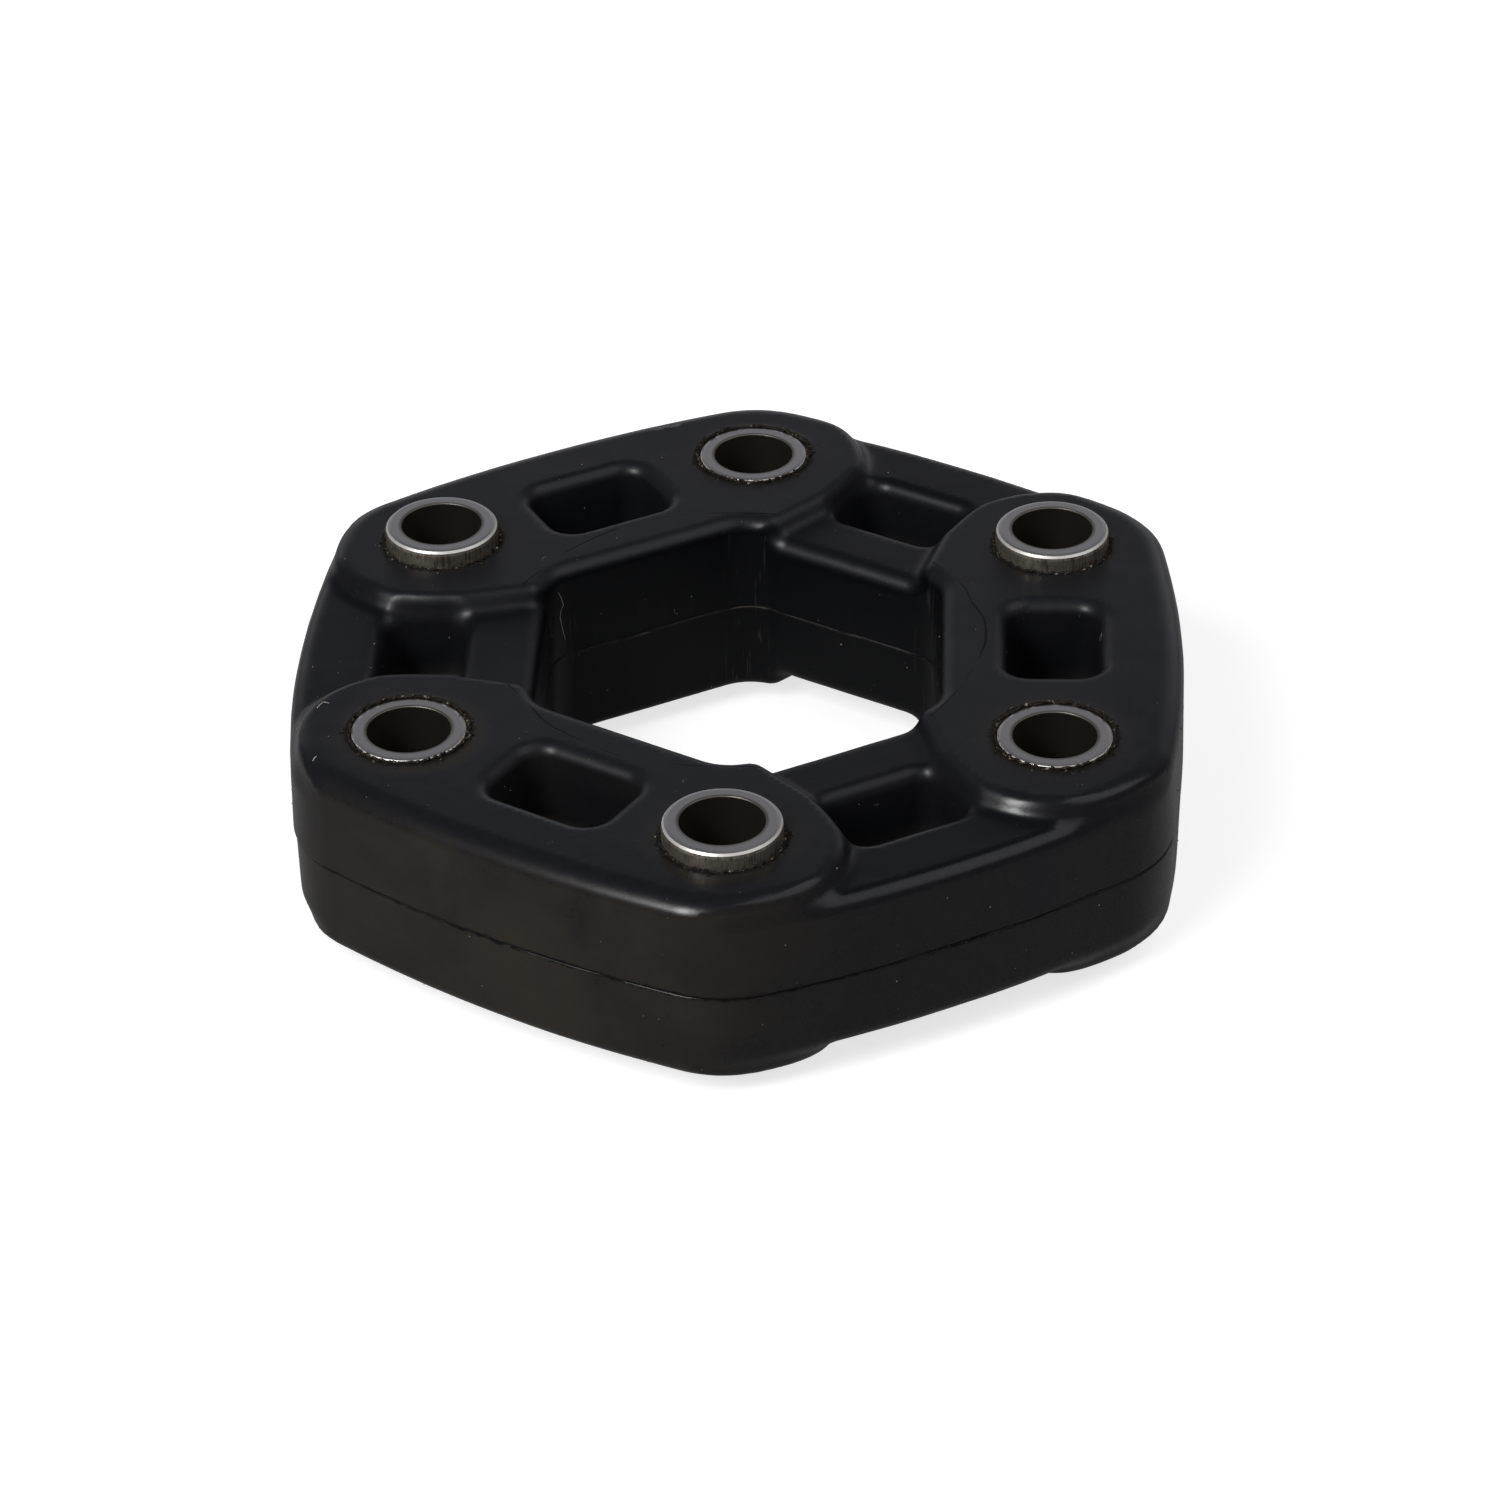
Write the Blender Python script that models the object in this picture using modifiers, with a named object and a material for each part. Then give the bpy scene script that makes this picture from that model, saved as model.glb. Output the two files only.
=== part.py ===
"""Driveshaft flex disc: a moulded rubber ring with six bonded steel sleeves.

Each pair of neighbouring sleeves is tied by wound cord loops buried in the rubber.
Thick links hold two loops, one above the other, and thin links hold one in the middle.
Collars between the loops keep them apart on the sleeves. Z is the disc's axis, and the
mid-plane of the rubber is at Z = 0.
"""

import math

import bmesh
import bpy

# Driving dimensions in metres

SLEEVE_COUNT = 6
BOLT_CIRCLE_RADIUS = 0.045

BORE_RADIUS = 0.0051
SLEEVE_WALL = 0.0021
SLEEVE_CHAMFER = 0.0005
BORE_CHAMFER = 0.0003
PROUD_LONG_SIDE = 0.0025
PROUD_SHORT_SIDE = 0.00025

LOOP_WIDTH = 0.0040
THICK_LINK_LOOP_HEIGHT = 0.0054
THIN_LINK_LOOP_HEIGHT = 0.0054
COLLAR_THICKNESS = 0.0010
COLLAR_RIM = 0.0003
FIT_GAP = 0.0003

RUBBER_COVER = 0.0014
LINK_STEP = 0.0023
OUTER_WALL = 0.00275
INNER_WALL = 0.00215
SIDE_CROWN = 0.0016
HOLE_CORNER_RADIUS = 0.0055
DRAFT_ANGLE = math.radians(1.2)
THICK_EDGE_RADIUS = 0.0025
THIN_EDGE_RADIUS = 0.0020

ISLAND_END_WALL = 0.00225
ISLAND_EDGE_RADIUS = 0.0012
ISLAND_FOOT_REACH = 0.0018
ISLAND_WAIST_ANGLE = math.radians(14.0)

POCKET_END_WALL = 0.00225
POCKET_SIDE_WALL = 0.00135
THIN_POCKET_INNER_WALL = 0.00295
POCKET_CORNER_RADIUS = 0.0030
POCKET_RIM_RADIUS = 0.0012
POCKET_WEB = 0.0020

# Facets

TURN_STEPS = 28
COLLAR_STEPS = 16
LOOP_END_STEPS = 9
SIDE_STEPS = 5
CORNER_STEPS = 5
HOLE_CORNER_STEPS = 4
ISLAND_STEPS = 9
POCKET_CORNER_STEPS = 3
ROUND_STEPS = 3
SMOOTH_ANGLE = math.radians(32.0)

# How far cutters run past what they cut

CUT_MARGIN = 0.0030
CUT_OVERLAP = 0.00005

# Sizes that follow from the driving dimensions

STEP_ANGLE = 2.0 * math.pi / SLEEVE_COUNT
HALF_CHORD = BOLT_CIRCLE_RADIUS * math.sin(STEP_ANGLE / 2.0)
CHORD_DISTANCE = BOLT_CIRCLE_RADIUS * math.cos(STEP_ANGLE / 2.0)

SLEEVE_RADIUS = BORE_RADIUS + SLEEVE_WALL
LOOP_INNER_RADIUS = SLEEVE_RADIUS + FIT_GAP
LOOP_OUTER_RADIUS = LOOP_INNER_RADIUS + LOOP_WIDTH
COLLAR_RADIUS = LOOP_OUTER_RADIUS + COLLAR_RIM
COLLAR_CAVITY_RADIUS = COLLAR_RADIUS + FIT_GAP

INNER_COLLAR_Z = THIN_LINK_LOOP_HEIGHT / 2.0 + FIT_GAP + COLLAR_THICKNESS / 2.0
THICK_LOOP_Z = INNER_COLLAR_Z + COLLAR_THICKNESS / 2.0 + FIT_GAP + THICK_LINK_LOOP_HEIGHT / 2.0
OUTER_COLLAR_Z = THICK_LOOP_Z + THICK_LINK_LOOP_HEIGHT / 2.0 + FIT_GAP + COLLAR_THICKNESS / 2.0
CAVITY_HALF_HEIGHT = OUTER_COLLAR_Z + COLLAR_THICKNESS / 2.0 + FIT_GAP

THICK_HALF_HEIGHT = CAVITY_HALF_HEIGHT + RUBBER_COVER
THIN_HALF_HEIGHT = THICK_HALF_HEIGHT - LINK_STEP
SLEEVE_HALF_LENGTH = THICK_HALF_HEIGHT + (PROUD_LONG_SIDE + PROUD_SHORT_SIDE) / 2.0
SLEEVE_STAGGER = (PROUD_LONG_SIDE - PROUD_SHORT_SIDE) / 2.0
OUTER_CORNER_RADIUS = COLLAR_CAVITY_RADIUS + OUTER_WALL
HOLE_FLAT = CHORD_DISTANCE - COLLAR_CAVITY_RADIUS - INNER_WALL
ISLAND_END_RADIUS = COLLAR_CAVITY_RADIUS + ISLAND_END_WALL
POCKET_HALF_LENGTH = HALF_CHORD - COLLAR_CAVITY_RADIUS - POCKET_END_WALL
POCKET_HALF_WIDTH = LOOP_INNER_RADIUS - FIT_GAP - POCKET_SIDE_WALL


def clear_scene():
    """Start from an empty scene."""
    for item in list(bpy.data.objects):
        bpy.data.objects.remove(item, do_unlink=True)


def new_collection(name):
    """Make a collection in the scene."""
    collection = bpy.data.collections.new(name)
    bpy.context.scene.collection.children.link(collection)
    return collection


def new_material(name, color, roughness, metallic):
    """Make a Principled material."""
    material = bpy.data.materials.new(name)
    material.use_nodes = True
    shader = material.node_tree.nodes["Principled BSDF"]
    shader.inputs["Base Color"].default_value = (*color, 1.0)
    shader.inputs["Roughness"].default_value = roughness
    shader.inputs["Metallic"].default_value = metallic
    material.diffuse_color = (*color, 1.0)
    return material


def rubber_material():
    """Black moulded rubber."""
    return new_material("black_rubber", (0.022, 0.021, 0.020), 0.62, 0.0)


def sleeve_material():
    """Plain steel with a thin brown bloom."""
    return new_material("sleeve_steel", (0.27, 0.25, 0.23), 0.42, 1.0)


def loop_material():
    """Pale polyester cord, wound and dipped."""
    return new_material("loop_cord", (0.48, 0.40, 0.28), 0.85, 0.0)


def collar_material():
    """Grey filled plastic."""
    return new_material("collar_plastic", (0.16, 0.17, 0.18), 0.55, 0.0)


def link_point(link, along, outward):
    """Turn a place given along a link and outward from its sleeve line into X and Y."""
    angle = link * STEP_ANGLE
    distance = CHORD_DISTANCE + outward
    x = distance * math.cos(angle) - along * math.sin(angle)
    y = distance * math.sin(angle) + along * math.cos(angle)
    return x, y


def sleeve_centre(index):
    """Centre of a sleeve; sleeve 0 lies between links 0 and 1."""
    return link_point(index, HALF_CHORD, 0.0)


def arc(center, radius, start, end, steps):
    """Points along an arc, both ends included."""
    points = []
    for i in range(steps + 1):
        angle = start + (end - start) * i / steps
        points.append((center[0] + radius * math.cos(angle), center[1] + radius * math.sin(angle)))
    return points


def outer_outline(inset):
    """Outline of the disc: an arc round each sleeve, joined by slightly crowned sides."""
    corner = OUTER_CORNER_RADIUS - inset
    crown = corner + SIDE_CROWN
    side = (HALF_CHORD ** 2 + crown ** 2 - corner ** 2) / (2.0 * SIDE_CROWN)
    half_angle = math.asin(HALF_CHORD / (side - corner))
    points = []
    for link in range(SLEEVE_COUNT):
        middle = link * STEP_ANGLE
        side_center = link_point(link, 0.0, crown - side)
        points += arc(side_center, side, middle - half_angle, middle + half_angle, SIDE_STEPS)
        corner_start = middle + half_angle
        corner_end = middle + STEP_ANGLE - half_angle
        points += arc(sleeve_centre(link), corner, corner_start, corner_end, CORNER_STEPS)[1:-1]
    return points


def hole_outline(outset):
    """Outline of the central hole: one flat for each link, joined by round corners."""
    radius = HOLE_CORNER_RADIUS + outset
    corner_distance = (HOLE_FLAT - HOLE_CORNER_RADIUS) / math.cos(STEP_ANGLE / 2.0)
    points = []
    for link in range(SLEEVE_COUNT):
        start = link * STEP_ANGLE
        middle = start + STEP_ANGLE / 2.0
        center = (corner_distance * math.cos(middle), corner_distance * math.sin(middle))
        points += arc(center, radius, start, start + STEP_ANGLE, HOLE_CORNER_STEPS)
    return points


def round_levels(height, radius, steps=ROUND_STEPS):
    """Heights and insets of a rounded edge, from its foot on the wall up to the face."""
    levels = []
    for i in range(steps + 1):
        angle = math.pi / 2.0 * i / steps
        levels.append((height - radius + radius * math.sin(angle), radius - radius * math.cos(angle)))
    return levels


def drafted(height):
    """How far a drafted wall has drawn in at a height above or below the mid-plane."""
    return abs(height) * math.tan(DRAFT_ANGLE)


def wall_levels(half_height, edge_radius, growth):
    """Heights and insets of a drafted wall with rounded rims, alike above and below."""
    upper = []
    for height, inset in round_levels(half_height, edge_radius):
        upper.append((height, inset + drafted(height) - growth))
    lower = [(-height, inset) for height, inset in reversed(upper)]
    return lower + [(0.0, -growth)] + upper


def loft(name, sections):
    """Solid through a stack of outlines, lowest first, that all have as many points."""
    mesh = bpy.data.meshes.new(name)
    solid = bmesh.new()
    rings = []
    for height, outline in sections:
        rings.append([solid.verts.new((x, y, height)) for x, y in outline])
    for lower, upper in zip(rings, rings[1:]):
        for i in range(len(lower)):
            j = (i + 1) % len(lower)
            solid.faces.new((lower[i], lower[j], upper[j], upper[i]))
    solid.faces.new(list(reversed(rings[0])))
    solid.faces.new(rings[-1])
    solid.normal_update()
    solid.to_mesh(mesh)
    solid.free()
    return bpy.data.objects.new(name, mesh)


def disc_blank(name, half_height, edge_radius, growth=0.0):
    """The disc's outer form with drafted walls and rounded rims."""
    levels = wall_levels(half_height, edge_radius, growth)
    return loft(name, [(height, outer_outline(inset)) for height, inset in levels])


def hole_cutter(name, half_height, edge_radius, growth=0.0):
    """Cutter for the central hole, flared where it rounds the hole's rims."""
    levels = wall_levels(half_height, edge_radius, growth)
    end = half_height + CUT_MARGIN
    flare = levels[-1][1]
    levels = [(-end, flare)] + levels + [(end, flare)]
    return loft(name, [(height, hole_outline(outset)) for height, outset in levels])


def place_cutter(cutter, collection):
    """Put a cutter in its collection and keep it out of the model."""
    collection.objects.link(cutter)
    cutter.hide_render = True
    cutter.display_type = "WIRE"
    return cutter


def cut(target, cutter):
    """Take a cutter away from a solid."""
    modifier = target.modifiers.new("cut_" + cutter.name, "BOOLEAN")
    modifier.operation = "DIFFERENCE"
    modifier.solver = "EXACT"
    modifier.object = cutter


def baked_mesh(item):
    """Mesh of an object with its modifiers applied."""
    graph = bpy.context.evaluated_depsgraph_get()
    return bpy.data.meshes.new_from_object(item.evaluated_get(graph))


def island_end_outline(side, offset):
    """Outline that keeps the end of a thick link: an arc round its sleeve and a straight waist."""
    radius = ISLAND_END_RADIUS + offset
    reach = HALF_CHORD + CUT_MARGIN
    start = math.pi / 2.0 + ISLAND_WAIST_ANGLE
    points = arc((-HALF_CHORD, 0.0), radius, start, -ISLAND_WAIST_ANGLE, ISLAND_STEPS)
    waist_along, waist_outward = points[-1]
    run = reach + waist_outward
    points.append((waist_along - run * math.tan(ISLAND_WAIST_ANGLE), -reach))
    points.append((-HALF_CHORD - radius, -reach))
    points.append((-HALF_CHORD - radius, radius))
    outline = [link_point(0, side * along, outward) for along, outward in points]
    return outline if side > 0 else list(reversed(outline))


def island_end_keeper(name, side):
    """The stretch of a thick link's end that reaches into a thin link, with its foot fillet."""
    foot = THIN_HALF_HEIGHT
    foot_height = LINK_STEP - ISLAND_EDGE_RADIUS
    levels = [(foot - THIN_EDGE_RADIUS - CUT_MARGIN, ISLAND_FOOT_REACH)]
    for i in range(ROUND_STEPS + 1):
        angle = math.pi / 2.0 * i / ROUND_STEPS
        height = foot + foot_height * (1.0 - math.cos(angle))
        levels.append((height, ISLAND_FOOT_REACH * (1.0 - math.sin(angle))))
    for height, inset in round_levels(THICK_HALF_HEIGHT, ISLAND_EDGE_RADIUS)[1:]:
        levels.append((height, -inset))
    levels.append((THICK_HALF_HEIGHT + 2.0 * CUT_MARGIN, -ISLAND_EDGE_RADIUS))
    return loft(name, [(height, island_end_outline(side, offset)) for height, offset in levels])


def thin_link_relief(collection):
    """Mesh of what is taken off above one thin link, with the form of the finished surface."""
    reach = 2.0 * BOLT_CIRCLE_RADIUS
    low = THIN_HALF_HEIGHT - THIN_EDGE_RADIUS
    high = THICK_HALF_HEIGHT + CUT_MARGIN
    wedge = [(0.0, 0.0)] + arc((0.0, 0.0), reach, -STEP_ANGLE / 2.0, STEP_ANGLE / 2.0, 1)
    blank = place_cutter(loft("relief_blank", [(low, wedge), (high, wedge)]), collection)
    slab = disc_blank("relief_slab", THIN_HALF_HEIGHT, THIN_EDGE_RADIUS, CUT_OVERLAP)
    hole = hole_cutter("relief_hole", THIN_HALF_HEIGHT, THIN_EDGE_RADIUS, CUT_OVERLAP)
    place_cutter(slab, collection)
    place_cutter(hole, collection)
    cut(slab, hole)
    cut(blank, slab)
    for side in (-1, 1):
        cut(blank, place_cutter(island_end_keeper("relief_keep_%d" % (side + 1), side), collection))
    return baked_mesh(blank)


def pocket_outline(link, middle, half_width, inset):
    """Rounded rectangle between two sleeves."""
    length = POCKET_HALF_LENGTH - POCKET_CORNER_RADIUS
    width = half_width - POCKET_CORNER_RADIUS
    radius = POCKET_CORNER_RADIUS - inset
    turn = link * STEP_ANGLE
    points = []
    for quarter in range(4):
        start = turn + quarter * math.pi / 2.0
        outward = width if quarter in (0, 3) else -width
        along = length if quarter in (0, 1) else -length
        center = link_point(link, along, middle + outward)
        points += arc(center, radius, start, start + math.pi / 2.0, POCKET_CORNER_STEPS)
    return points


def pocket_cutter(name, link, side):
    """Cutter for one blind pocket, opened on one side of the disc."""
    thick = link % 2 == 0
    face = THICK_HALF_HEIGHT if thick else THIN_HALF_HEIGHT
    outer_edge = POCKET_HALF_WIDTH
    inner_edge = -POCKET_HALF_WIDTH if thick else THIN_POCKET_INNER_WALL - LOOP_INNER_RADIUS
    middle = (outer_edge + inner_edge) / 2.0
    half_width = (outer_edge - inner_edge) / 2.0
    floor = POCKET_WEB / 2.0
    levels = [(floor, drafted(face - floor))]
    for height, outset in round_levels(face, POCKET_RIM_RADIUS):
        levels.append((height, drafted(face - height) - outset))
    levels.append((face + CUT_MARGIN, levels[-1][1]))
    sections = [(side * h, pocket_outline(link, middle, half_width, inset)) for h, inset in levels]
    return loft(name, sections if side > 0 else list(reversed(sections)))


def turned(name, profile, steps):
    """Turn a profile of radius and height pairs round Z with a Screw modifier."""
    mesh = bpy.data.meshes.new(name)
    shape = bmesh.new()
    verts = [shape.verts.new((radius, 0.0, height)) for radius, height in profile]
    for first, second in zip(verts, verts[1:]):
        shape.edges.new((first, second))
    if profile[0][0] > 0.0:
        shape.edges.new((verts[-1], verts[0]))
    shape.to_mesh(mesh)
    shape.free()
    item = bpy.data.objects.new(name, mesh)
    screw = item.modifiers.new("turn", "SCREW")
    screw.steps = steps
    screw.render_steps = steps
    screw.use_merge_vertices = True
    screw.merge_threshold = 0.00001
    screw.use_smooth_shade = False
    return item


def sleeve_cavity_cutter(name, index):
    """Cutter for one sleeve's seat and for the collars and loops round it."""
    seat = SLEEVE_RADIUS + FIT_GAP
    end = SLEEVE_HALF_LENGTH + CUT_MARGIN
    profile = [
        (0.0, end),
        (seat, end),
        (seat, CAVITY_HALF_HEIGHT),
        (COLLAR_CAVITY_RADIUS, CAVITY_HALF_HEIGHT),
        (COLLAR_CAVITY_RADIUS, -CAVITY_HALF_HEIGHT),
        (seat, -CAVITY_HALF_HEIGHT),
        (seat, -end),
        (0.0, -end),
    ]
    cutter = turned(name, profile, COLLAR_STEPS)
    cutter.location = (*sleeve_centre(index), 0.0)
    return cutter


def loop_run_cutter(name, link, side, middle_z, loop_height):
    """Cutter for one straight run of a cord loop between two sleeves."""
    near = side * (LOOP_INNER_RADIUS - FIT_GAP)
    far = side * (LOOP_OUTER_RADIUS + FIT_GAP)
    low, high = sorted((near, far))
    half = HALF_CHORD
    corners = [(-half, low), (-half, high), (half, high), (half, low)]
    outline = [link_point(link, along, outward) for along, outward in corners]
    half_height = loop_height / 2.0 + FIT_GAP
    return loft(name, [(middle_z - half_height, outline), (middle_z + half_height, outline)])


def smooth(item):
    """Shade a piece smooth, with its true edges kept sharp."""
    item.data.shade_smooth()
    item.data.set_sharp_from_angle(angle=SMOOTH_ANGLE)


def rubber_body(collection, cutters):
    """The moulded rubber: links, island steps, pockets, sleeve seats and loop runs."""
    work = disc_blank("rubber_blank", THICK_HALF_HEIGHT, THICK_EDGE_RADIUS)
    place_cutter(work, cutters)
    hole = hole_cutter("hole", THICK_HALF_HEIGHT, THICK_EDGE_RADIUS)
    cut(work, place_cutter(hole, cutters))
    relief = thin_link_relief(cutters)
    for link in range(1, SLEEVE_COUNT, 2):
        for side in (1, -1):
            cutter = bpy.data.objects.new("relief_%d_%s" % (link, "top" if side > 0 else "under"), relief)
            flip = 0.0 if side > 0 else math.pi
            cutter.rotation_euler = (flip, 0.0, link * STEP_ANGLE)
            cut(work, place_cutter(cutter, cutters))
    for link in range(SLEEVE_COUNT):
        for side in (1, -1):
            name = "pocket_%d_%s" % (link, "top" if side > 0 else "under")
            cut(work, place_cutter(pocket_cutter(name, link, side), cutters))
        for name, middle_z, height in loop_levels(link):
            for side in (1, -1):
                run = "run_%d_%s_%s" % (link, name, "out" if side > 0 else "in")
                cut(work, place_cutter(loop_run_cutter(run, link, side, middle_z, height), cutters))
    for index in range(SLEEVE_COUNT):
        cut(work, place_cutter(sleeve_cavity_cutter("seat_%d" % index, index), cutters))
    body = bpy.data.objects.new("rubber_body", baked_mesh(work))
    body.data.materials.append(rubber_material())
    smooth(body)
    collection.objects.link(body)
    return body


def sleeve_mesh(collection):
    """Mesh of one steel sleeve with chamfered ends."""
    half = SLEEVE_HALF_LENGTH
    profile = [
        (SLEEVE_RADIUS - SLEEVE_CHAMFER, half),
        (SLEEVE_RADIUS, half - SLEEVE_CHAMFER),
        (SLEEVE_RADIUS, -half + SLEEVE_CHAMFER),
        (SLEEVE_RADIUS - SLEEVE_CHAMFER, -half),
        (BORE_RADIUS + BORE_CHAMFER, -half),
        (BORE_RADIUS, -half + BORE_CHAMFER),
        (BORE_RADIUS, half - BORE_CHAMFER),
        (BORE_RADIUS + BORE_CHAMFER, half),
    ]
    return turned_mesh("sleeve_blank", profile, TURN_STEPS, collection)


def collar_mesh(collection):
    """Mesh of one flat collar that parts two loops on a sleeve."""
    half = COLLAR_THICKNESS / 2.0
    profile = [
        (COLLAR_RADIUS, half),
        (COLLAR_RADIUS, -half),
        (LOOP_INNER_RADIUS, -half),
        (LOOP_INNER_RADIUS, half),
    ]
    return turned_mesh("collar_blank", profile, COLLAR_STEPS, collection)


def turned_mesh(name, profile, steps, collection):
    """Mesh of a turned piece, ready to be shared by several objects."""
    blank = place_cutter(turned(name, profile, steps), collection)
    mesh = baked_mesh(blank)
    bpy.data.objects.remove(blank, do_unlink=True)
    return mesh


def add_piece(name, mesh, location, parent, collection):
    """Place one named piece."""
    item = bpy.data.objects.new(name, mesh)
    item.location = location
    item.parent = parent
    collection.objects.link(item)
    return item


def stadium(radius):
    """Racetrack outline round two sleeves on the X axis."""
    right = arc((HALF_CHORD, 0.0), radius, -math.pi / 2.0, math.pi / 2.0, LOOP_END_STEPS)
    left = arc((-HALF_CHORD, 0.0), radius, math.pi / 2.0, 1.5 * math.pi, LOOP_END_STEPS)
    return right + left


def add_outline(curve, points):
    """Add a closed straight-sided outline to a curve."""
    spline = curve.splines.new("POLY")
    spline.points.add(len(points) - 1)
    for place, (x, y) in zip(spline.points, points):
        place.co = (x, y, 0.0, 1.0)
    spline.use_cyclic_u = True


def cord_loop(name, link, middle_z, height, material, parent, collection):
    """One wound cord loop round the two sleeves of a link."""
    curve = bpy.data.curves.new(name, "CURVE")
    curve.dimensions = "2D"
    curve.fill_mode = "BOTH"
    curve.extrude = height / 2.0
    add_outline(curve, stadium(LOOP_OUTER_RADIUS))
    add_outline(curve, stadium(LOOP_INNER_RADIUS))
    curve.materials.append(material)
    item = bpy.data.objects.new(name, curve)
    item.location = (*link_point(link, 0.0, 0.0), middle_z)
    item.rotation_euler = (0.0, 0.0, link * STEP_ANGLE + math.pi / 2.0)
    item.parent = parent
    collection.objects.link(item)
    return item


def loop_levels(link):
    """Name, height above the mid-plane and size of each cord loop in a link."""
    if link % 2:
        return [("middle", 0.0, THIN_LINK_LOOP_HEIGHT)]
    return [
        ("upper", THICK_LOOP_Z, THICK_LINK_LOOP_HEIGHT),
        ("lower", -THICK_LOOP_Z, THICK_LINK_LOOP_HEIGHT),
    ]


def collar_levels():
    """Name and height of the four collars on each sleeve."""
    return [
        ("top", OUTER_COLLAR_Z),
        ("upper", INNER_COLLAR_Z),
        ("lower", -INNER_COLLAR_Z),
        ("under", -OUTER_COLLAR_Z),
    ]


def main():
    """Build the disc."""
    clear_scene()
    disc = new_collection("flex_disc")
    cutters = new_collection("flex_disc_cutters")
    axis = bpy.data.objects.new("disc_axis", None)
    disc.objects.link(axis)
    body = rubber_body(disc, cutters)
    body.parent = axis
    sleeve = sleeve_mesh(cutters)
    sleeve.materials.append(sleeve_material())
    collar = collar_mesh(cutters)
    collar.materials.append(collar_material())
    for index in range(SLEEVE_COUNT):
        x, y = sleeve_centre(index)
        stagger = SLEEVE_STAGGER if index % 2 == 0 else -SLEEVE_STAGGER
        smooth(add_piece("sleeve_%d" % (index + 1), sleeve, (x, y, stagger), axis, disc))
        for name, height in collar_levels():
            smooth(add_piece("collar_%d_%s" % (index + 1, name), collar, (x, y, height), axis, disc))
    cord = loop_material()
    for link in range(SLEEVE_COUNT):
        for name, middle_z, height in loop_levels(link):
            cord_loop("cord_loop_%d_%s" % (link + 1, name), link, middle_z, height, cord, axis, disc)


main()
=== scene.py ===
import math

import bpy
import numpy as np
from mathutils import Matrix, Vector


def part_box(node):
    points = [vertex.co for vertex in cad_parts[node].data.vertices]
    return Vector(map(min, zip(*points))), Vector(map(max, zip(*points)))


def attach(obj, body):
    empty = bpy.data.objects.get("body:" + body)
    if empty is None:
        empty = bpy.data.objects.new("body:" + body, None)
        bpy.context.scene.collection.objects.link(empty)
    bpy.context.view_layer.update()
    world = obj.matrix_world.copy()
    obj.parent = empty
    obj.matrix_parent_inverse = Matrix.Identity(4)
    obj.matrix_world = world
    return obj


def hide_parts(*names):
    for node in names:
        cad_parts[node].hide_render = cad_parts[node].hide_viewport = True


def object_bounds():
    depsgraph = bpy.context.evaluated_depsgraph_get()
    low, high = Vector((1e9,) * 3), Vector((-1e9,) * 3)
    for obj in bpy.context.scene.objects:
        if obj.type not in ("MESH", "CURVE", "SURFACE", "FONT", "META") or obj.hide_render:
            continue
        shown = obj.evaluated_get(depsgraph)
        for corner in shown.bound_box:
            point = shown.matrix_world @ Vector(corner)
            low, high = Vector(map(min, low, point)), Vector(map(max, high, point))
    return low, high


# %% [markdown]
# # A driveshaft flex disc
#
# A flex disc is the rubber coupling between a gearbox and a driveshaft. Six steel sleeves take the
# bolts of two three-arm flanges, and cord loops inside the rubber carry the pull between them. This
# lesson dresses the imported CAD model: the moulded rubber is made again from its own rule at a much
# finer pitch, the sleeves are turned by Geometry Nodes, and small trees add torn flash, dust and lint.
#
# The frame is loaded first, because every piece takes its size and place from it.

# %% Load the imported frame
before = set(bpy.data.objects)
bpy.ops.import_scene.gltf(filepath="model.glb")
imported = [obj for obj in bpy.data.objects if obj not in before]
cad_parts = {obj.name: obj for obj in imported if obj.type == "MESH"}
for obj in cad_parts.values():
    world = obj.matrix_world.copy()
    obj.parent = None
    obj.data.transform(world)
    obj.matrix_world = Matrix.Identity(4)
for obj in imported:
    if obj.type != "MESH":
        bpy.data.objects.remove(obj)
cad_low, cad_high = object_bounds()
MM = 0.001
print("CAD box in mm:", [round(v / MM, 2) for v in (*cad_low, *cad_high)])

# %% [markdown]
# ## Camera
#
# The view is a long lens looking down at about 33 degrees. Place, heading, pitch and roll come from
# fitting the twelve rims of the sleeves in the photograph, so they are written as plain numbers here.

# %% Camera
CAMERA_PLACE = Vector((29.00, -548.73, 352.42)) * MM
CAMERA_HEADING = math.radians(2.91)
CAMERA_PITCH = math.radians(32.99)
CAMERA_ROLL = math.radians(-1.07)
CAMERA_LENS = 124.89

camera_data = bpy.data.cameras.new("product_camera")
camera_data.lens = CAMERA_LENS
camera_data.sensor_width = 36.0
camera_data.clip_start = 0.01
camera = bpy.data.objects.new("product_camera", camera_data)
camera.matrix_world = (
    Matrix.Translation(CAMERA_PLACE)
    @ Matrix.Rotation(CAMERA_HEADING, 4, "Z")
    @ Matrix.Rotation(math.pi / 2.0 - CAMERA_PITCH, 4, "X")
    @ Matrix.Rotation(CAMERA_ROLL, 4, "Z")
)
bpy.context.scene.collection.objects.link(camera)
bpy.context.scene.camera = camera
bpy.context.scene.view_settings.view_transform = "Standard"
print("camera", round(CAMERA_PLACE.length, 3), "m from the disc's centre")

# %% [markdown]
# ## Two helpers for every material and every tree
#
# Colours are chosen as sRGB hex values, the way a paint chart or an image editor shows them. Shaders
# work on linear light, so one function turns them. Another adds a node with its settings and links, and
# it serves shader trees and Geometry Nodes alike.


# %% Helpers for colours and nodes
def linear(hex_colour):
    """Turn an sRGB hex colour into the linear RGBA that a shader takes."""
    values = [int(hex_colour[i:i + 2], 16) / 255.0 for i in (1, 3, 5)]
    return tuple(v / 12.92 if v <= 0.04045 else ((v + 0.055) / 1.055) ** 2.4 for v in values) + (1.0,)


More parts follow.
